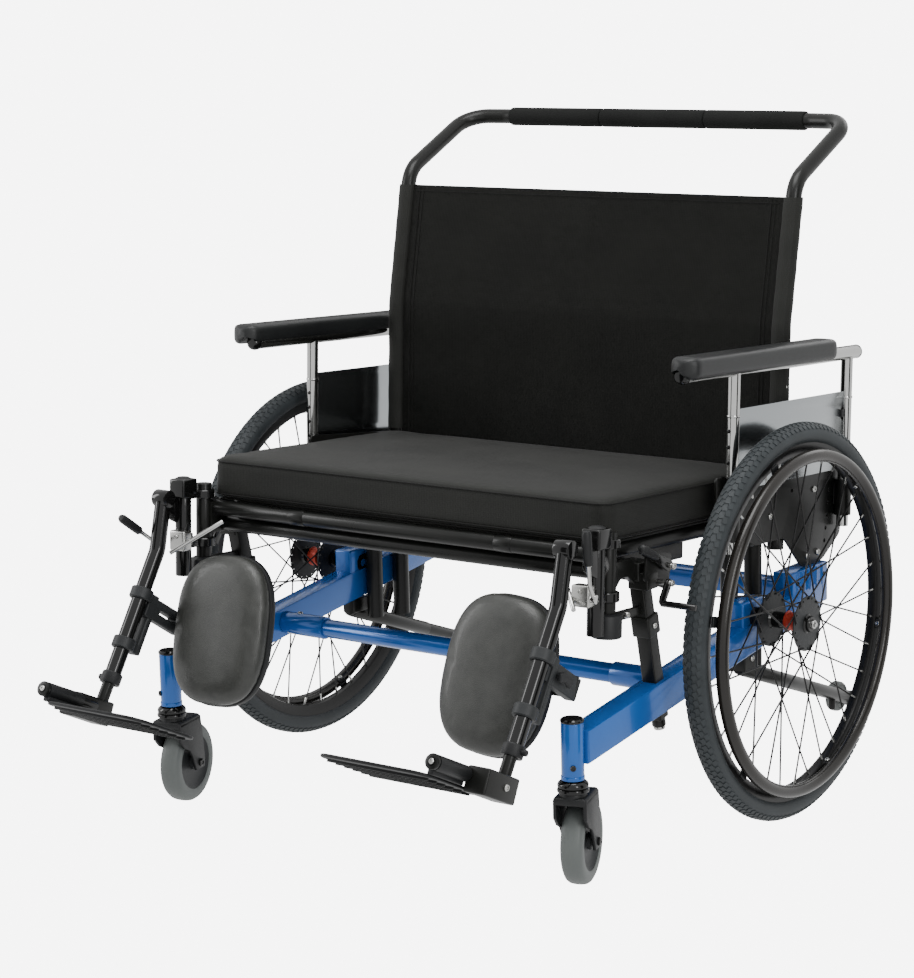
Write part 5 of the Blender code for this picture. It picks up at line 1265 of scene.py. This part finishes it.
def cloth_panel():
    bm = bmesh.new()
    columns, rows, half = 96, 84, 0.3602
    grid = []
    for j in range(rows + 1):
        w = BACK_LOW + (BACK_HIGH - BACK_LOW) * j / rows
        grid.append([bm.verts.new((-half + 2 * half * i / columns, back_cloth(-half + 2 * half * i / columns, w), w))
                     for i in range(columns + 1)])
    for a, b in zip(grid, grid[1:]):
        for i in range(columns):
            bm.faces.new((a[i], a[i + 1], b[i + 1], b[i]))
    bmesh.ops.solidify(bm, geom=bm.faces[:], thickness=-0.0018)
    bmesh.ops.recalc_face_normals(bm, faces=bm.faces)
    return bm


panel_cloth = fit("back_cloth", gather(cloth_panel(), place=SEAT), NYLON, "chair", ["back_upholstery"])


def pocket_tube(s):
    """The cloth pocket round one tube, open at both ends, with a rolled edge."""
    bm = bmesh.new()
    rings = []
    heights = [POCKET_LOW + (BACK_HIGH - POCKET_LOW) * j / 60 for j in range(61)]
    for radius_of, order in ((lambda j: 0.01505 + 0.00022 * sin(j * 0.9), heights),
                             (lambda j: 0.01330, heights[::-1])):
        for j, w in enumerate(order):
            radius = radius_of(j)
            rings.append([bm.verts.new((s * 0.3735 + radius * cos(2 * pi * k / 32),
                                        lean(w) + radius * sin(2 * pi * k / 32), w)) for k in range(32)])
    for i in range(len(rings)):
        a, b = rings[i], rings[(i + 1) % len(rings)]
        for k in range(32):
            m = (k + 1) % 32
            bm.faces.new((a[k], a[m], b[m], b[k]))
    bmesh.ops.recalc_face_normals(bm, faces=bm.faces)
    return bm


def seam_line(points, radius, sides=8):
    bm = bmesh.new()
    rings = []
    for i, here in enumerate(points):
        ahead = (points[min(i + 1, len(points) - 1)] - points[max(i - 1, 0)]).normalized()
        across = ahead.cross(Vector((0, 1, 0))).normalized()
        out = across.cross(ahead).normalized()
        rings.append([bm.verts.new(here + across * radius * cos(2 * pi * k / sides)
                                   + out * radius * sin(2 * pi * k / sides)) for k in range(sides)])
    for a, b in zip(rings, rings[1:]):
        for k in range(sides):
            m = (k + 1) % sides
            bm.faces.new((a[k], a[m], b[m], b[k]))
    bm.faces.new(rings[0])
    bm.faces.new(rings[-1])
    bmesh.ops.recalc_face_normals(bm, faces=bm.faces)
    return bm


fit("back_pockets", gather(pocket_tube(1), pocket_tube(-1), place=SEAT), NYLON, "chair")
welts = []
for s in (1, -1):
    for x in (0.345, 0.338):
        steps = [BACK_LOW + 0.004 + (BACK_HIGH - BACK_LOW - 0.008) * i / 70 for i in range(71)]
        welts.append(seam_line([Vector((s * x, back_cloth(x, w) - 0.0006, w)) for w in steps], 0.0009))
for w in (BACK_LOW + 0.008, BACK_HIGH - 0.010):
    steps = [-0.352 + 0.704 * i / 70 for i in range(71)]
    welts.append(seam_line([Vector((x, back_cloth(x, w) - 0.0006, w)) for x in steps], 0.0008))
fit("back_seams", gather(*welts, place=SEAT), TRIM, "chair")
print("back upholstery made")

# %% [markdown]
# The arm pads are self-skinned foam: rounded rails with a groove round the tube. The calf pads are soft vinyl pads with
# an oval outline, a crowned face and a rim where the cover meets the back shell.

# %% Arm pads and calf pads
def arm_pad(side):
    low_u, high_u, centre_x, half_x = -0.2515, 0.1875, 0.4145, 0.0235
    length, rows = high_u - low_u, 60
    bm = bmesh.new()
    rings = []
    for j in range(rows + 1):
        t = j / rows
        end = min(t, 1 - t) * length
        draw = 0.0 if end > 0.016 else 0.016 - sqrt(max(0.0, 0.016 ** 2 - (0.016 - end) ** 2))
        drop = 0.0 if end > 0.012 else 0.55 * (0.012 - sqrt(max(0.0, 0.012 ** 2 - (0.012 - end) ** 2)))
        ring = []
        for k in range(40):
            a = 2 * pi * k / 40
            cx = abs(cos(a)) ** 0.45 * (1 if cos(a) > 0 else -1)
            cz = abs(sin(a)) ** 0.60 * (1 if sin(a) > 0 else -1)
            x = centre_x + (half_x - draw) * cx
            w = 0.2622 + (0.0166 - drop) * cz
            reach = sqrt((x - ARM_X) ** 2 + (w - ARM_W) ** 2)
            if reach < 0.0117:
                w = ARM_W + sqrt(max(0.0, 0.0117 ** 2 - (x - ARM_X) ** 2))
            ring.append(bm.verts.new((x, low_u + length * t, w)))
        rings.append(ring)
    for a, b in zip(rings, rings[1:]):
        for k in range(40):
            m = (k + 1) % 40
            bm.faces.new((a[k], a[m], b[m], b[k]))
    bm.faces.new(rings[0])
    bm.faces.new(rings[-1])
    bmesh.ops.recalc_face_normals(bm, faces=bm.faces)
    pad = fit(f"arm_pad_skin_{side}", gather(bm, place=SEAT), PADSKIN, f"arm_{side}", [f"arm_pad_{side}"],
              side, 60)


def oval(half_x, half_z, power=2.7, count=72):
    points = []
    for i in range(count):
        a = 2 * pi * i / count
        points.append((half_x * abs(cos(a)) ** (2 / power) * (1 if cos(a) > 0 else -1),
                       half_z * abs(sin(a)) ** (2 / power) * (1 if sin(a) > 0 else -1)))
    return points


def calf_pad(side):
    half_x, half_z = 0.0900, 0.1175
    place = (CALF @ Matrix.Translation((-0.1155, 0, 0)) @ Matrix.Rotation(radians(4), 4, "Y")
             @ Matrix.Rotation(pi / 2, 4, "X"))
    shell = layered(oval(half_x, half_z), half_x, half_z, [(0.006, 0.0004), (0.0015, 0.0012), (0.0002, 0.0050),
            (0.0012, 0.0105), (0.0040, 0.0120)])
    fit(f"calf_pad_shell_{side}", gather(shell, place=place), PLASTIC, f"calf_{side}", (), side)
    layers = [(0.0045, 0.0090), (0.0012, 0.0125), (0.0008, 0.0180), (0.0030, 0.0260), (0.0085, 0.0335),
              (0.0180, 0.0385), (0.0330, 0.0415), (0.0520, 0.0428), (0.0680, 0.0432)]
    form = layered(oval(half_x, half_z), half_x, half_z, layers)
    soft = swell(form, 0.0045, 2.5, 0.0015, True)
    pad = fit(f"calf_pad_cover_{side}", gather(soft, place=place), VINYL, f"calf_{side}",
              [f"calf_pad_{side}"], side, 60)
    smooth = pad.modifiers.new("smooth", "SUBSURF")
    smooth.levels = smooth.render_levels = 1


for side in SIDES:
    arm_pad(side)
    calf_pad(side)
print("pads made")

# %% [markdown]
# The chair stands in a seamless white room. The room is a large closed shell that only shows behind the chair: it gives
# no light and casts no shadow, so the soft boxes alone shape the chair. It is not part of the chair. Last, every plain
# solid of the frame that is still shown is given the black satin finish.

# %% White room and finish
ROOM_RADIUS, ROOM_GLOW = 14, 7.0
bpy.ops.mesh.primitive_uv_sphere_add(segments=48, ring_count=24, radius=ROOM_RADIUS)
room = bpy.context.object
room.name = "white_room"
white = bpy.data.materials.new("white_room")
white.use_nodes = True
glow = white.node_tree.nodes.new("ShaderNodeEmission")
glow.inputs["Strength"].default_value = ROOM_GLOW
white.node_tree.links.new(glow.outputs["Emission"], white.node_tree.nodes["Material Output"].inputs["Surface"])
room.data.materials.append(white)
room.visible_diffuse = room.visible_glossy = room.visible_transmission = room.visible_shadow = False
for name, node in frame["nodes"].items():
    if not node.hide_render and node.data.materials:
        node.data.materials.clear()
        node.data.materials.append(BLACK)
